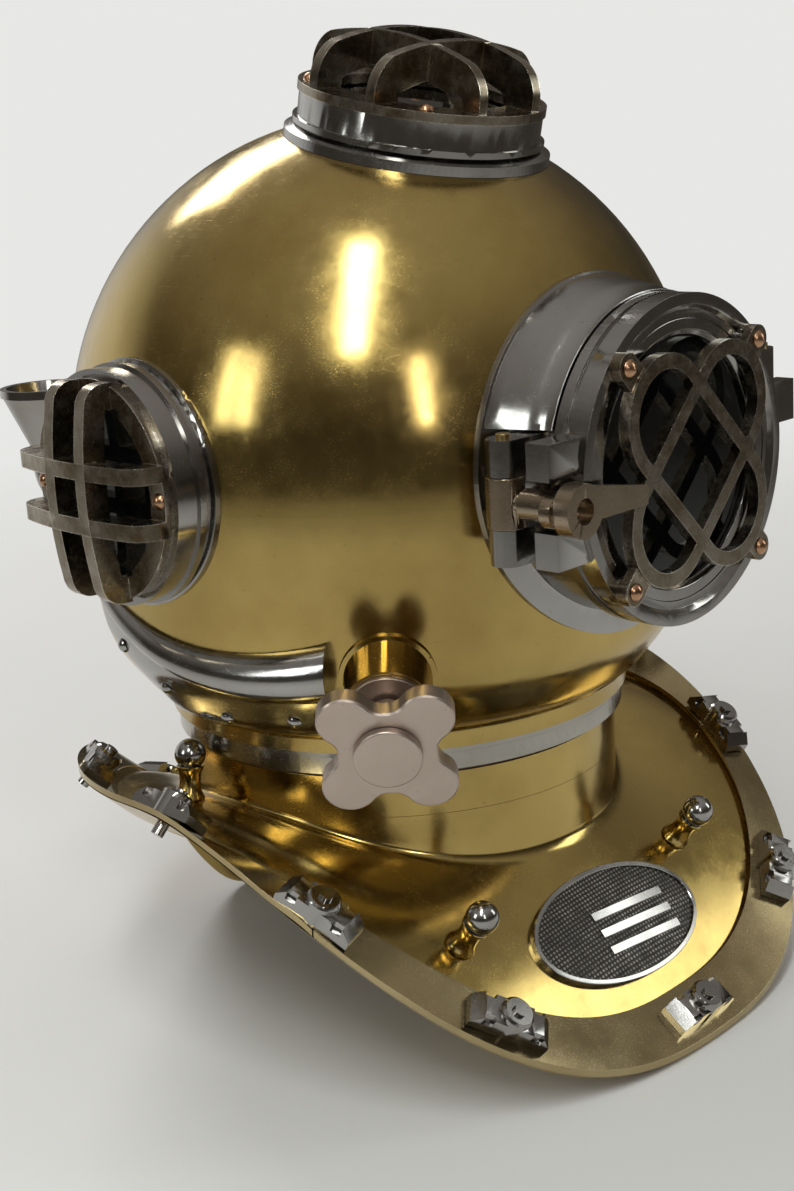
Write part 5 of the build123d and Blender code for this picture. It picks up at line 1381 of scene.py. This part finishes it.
@dataclass
class Studio:
    """Pale floor, soft lamps and the room's even light."""

    floor_half: float = 6.0
    floor_cells: int = 8
    backdrop: Colour = (0.80, 0.80, 0.80 * 0.98)
    backdrop_edge: tuple[float, float] = (0.80, 0.97)
    room_levels: tuple[tuple[float, float], ...] = (
        (0.0, 0.07), (0.15, 0.05), (0.42, 0.12), (0.75, 0.34), (1.0, 0.42),
    )
    warmth: tuple[tuple[float, float], ...] = ((0.88, 0.2), (0.72, 0.5))
    aim_height: float = 0.08
    boxes: tuple[SoftBox, ...] = (
        SoftBox("key", (-1.0, -0.7, 1.9), (0.30, 1.6), 20, (0.94, 1.0, 0.99)),
        SoftBox("window", (-1.0, -1.7, 0.9), (0.14, 0.8), 4),
        SoftBox("fill", (1.5, -1.3, 0.8), (0.5, 0.9), 5, (0.94, 1.0, 0.99)),
        SoftBox("rim", (0.6, 1.6, 1.5), (1.0, 0.6), 16),
        SoftBox("left_pane", (-1.95, 0.42, 0.9), (0.20, 0.8), 3, (0.94, 1.0, 0.99)),
        SoftBox("right_pane", (-1.99, 0.16, 0.9), (0.20, 0.8), 3, (0.94, 1.0, 0.99)),
    )

    def build(self, low: float) -> None:
        """Lays the floor and hangs the lamps.

        Args:
            low: The height of the floor.
        """
        shape = bmesh.new()
        bmesh.ops.create_grid(shape, x_segments=self.floor_cells, y_segments=self.floor_cells,
                              size=self.floor_half, matrix=Matrix.Translation((0, 0, low)))
        mesh = bpy.data.meshes.new("floor")
        shape.to_mesh(mesh)
        shape.free()
        mesh.materials.append(Paper("floor_paper", (0.80, 0.79, 0.775)).build())
        floor = bpy.data.objects.new("floor", mesh)
        bpy.context.scene.collection.objects.link(floor)
        floor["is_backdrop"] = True
        for box in self.boxes:
            self.hang(box)
        self.room()

    def hang(self, box: SoftBox) -> None:
        """Adds a lamp aimed at the helmet.

        Args:
            box: The lamp.
        """
        data = bpy.data.lights.new(box.name, "AREA")
        data.shape = "RECTANGLE"
        data.size, data.size_y = box.size
        data.energy = box.power
        data.color = box.tint
        lamp = bpy.data.objects.new(box.name, data)
        lamp.location = box.place
        aim = Vector((0, 0, self.aim_height)) - Vector(box.place)
        lamp.rotation_euler = aim.to_track_quat("-Z", "Y").to_euler()
        bpy.context.scene.collection.objects.link(lamp)

    def room(self) -> None:
        """Even room light, and a pale backdrop that the camera, the metal and the glass see."""
        world = bpy.data.worlds.new("room")
        bpy.context.scene.world = world
        world.use_nodes = True
        tree = world.node_tree
        tree.nodes.clear()
        place = tree.nodes.new("ShaderNodeTexCoord")
        split = tree.nodes.new("ShaderNodeSeparateXYZ")
        tree.links.new(place.outputs["Generated"], split.inputs[0])
        lit = tree.nodes.new("ShaderNodeBackground")
        tree.links.new(self.room_colour(tree, split.outputs["Z"]), lit.inputs["Color"])
        seen = tree.nodes.new("ShaderNodeBackground")
        seen.inputs["Color"].default_value = (*self.backdrop, 1)
        mix = tree.nodes.new("ShaderNodeMixShader")
        tree.links.new(self.backdrop_share(tree, split.outputs["Y"]), mix.inputs[0])
        tree.links.new(lit.outputs[0], mix.inputs[1])
        tree.links.new(seen.outputs[0], mix.inputs[2])
        output = tree.nodes.new("ShaderNodeOutputWorld")
        tree.links.new(mix.outputs[0], output.inputs["Surface"])

    def room_colour(self, tree: bpy.types.NodeTree, height: bpy.types.NodeSocket) -> bpy.types.NodeSocket:
        """The room's light from its floor to its ceiling.

        Args:
            tree: The world's nodes.
            height: How far a direction points up.

        Returns:
            The colour's socket.
        """
        ramp = tree.nodes.new("ShaderNodeValToRGB")
        tree.links.new(height, ramp.inputs[0])
        stops = ramp.color_ramp.elements
        while len(stops) < len(self.room_levels):
            stops.new(1.0)
        for stop, (position, level) in zip(stops, self.room_levels):
            stop.position = position
            stop.color = (level, *(level * (base + slope * level) for base, slope in self.warmth), 1)
        return ramp.outputs[0]

    def backdrop_share(self, tree: bpy.types.NodeTree, depth: bpy.types.NodeSocket) -> bpy.types.NodeSocket:
        """Where the pale backdrop shows: all round to the camera, and behind the helmet to metal and glass.

        Args:
            tree: The world's nodes.
            depth: How far a direction points to the rear.

        Returns:
            A socket that is 1 where the backdrop shows.
        """
        path = tree.nodes.new("ShaderNodeLightPath")
        behind = tree.nodes.new("ShaderNodeMapRange")
        for name, edge in zip(("From Min", "From Max"), self.backdrop_edge):
            behind.inputs[name].default_value = edge
        tree.links.new(depth, behind.inputs["Value"])
        share = path.outputs["Is Camera Ray"]
        for ray in ("Is Glossy Ray", "Is Transmission Ray"):
            wall = tree.nodes.new("ShaderNodeMath")
            wall.operation = "MULTIPLY_ADD"
            wall.use_clamp = True
            tree.links.new(path.outputs[ray], wall.inputs[0])
            tree.links.new(behind.outputs[0], wall.inputs[1])
            tree.links.new(share, wall.inputs[2])
            share = wall.outputs[0]
        return share


def main() -> None:
    """Builds the classes in order and reports each piece."""
    logging.basicConfig(level=logging.INFO, format="%(message)s")
    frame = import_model()
    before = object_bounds()
    shop = Workshop(frame["nodes"])
    assemblies: tuple[type[SubAssembly], ...] = (
        Corselet, BonnetShell, Faceplate, SwingLatch, LatchLever,
        ExhaustWheel, ExhaustNut, ExhaustDisc, NeckLock,
    )
    for kind in assemblies:
        made = kind(shop).dress()
        LOG.info("%s: %d pieces", kind.__name__, len(made))
    Studio().build(before[0].z)
    PhotoCamera().build()
    bpy.context.scene.view_settings.view_transform = "Standard"


if __name__ == "__main__":
    main()
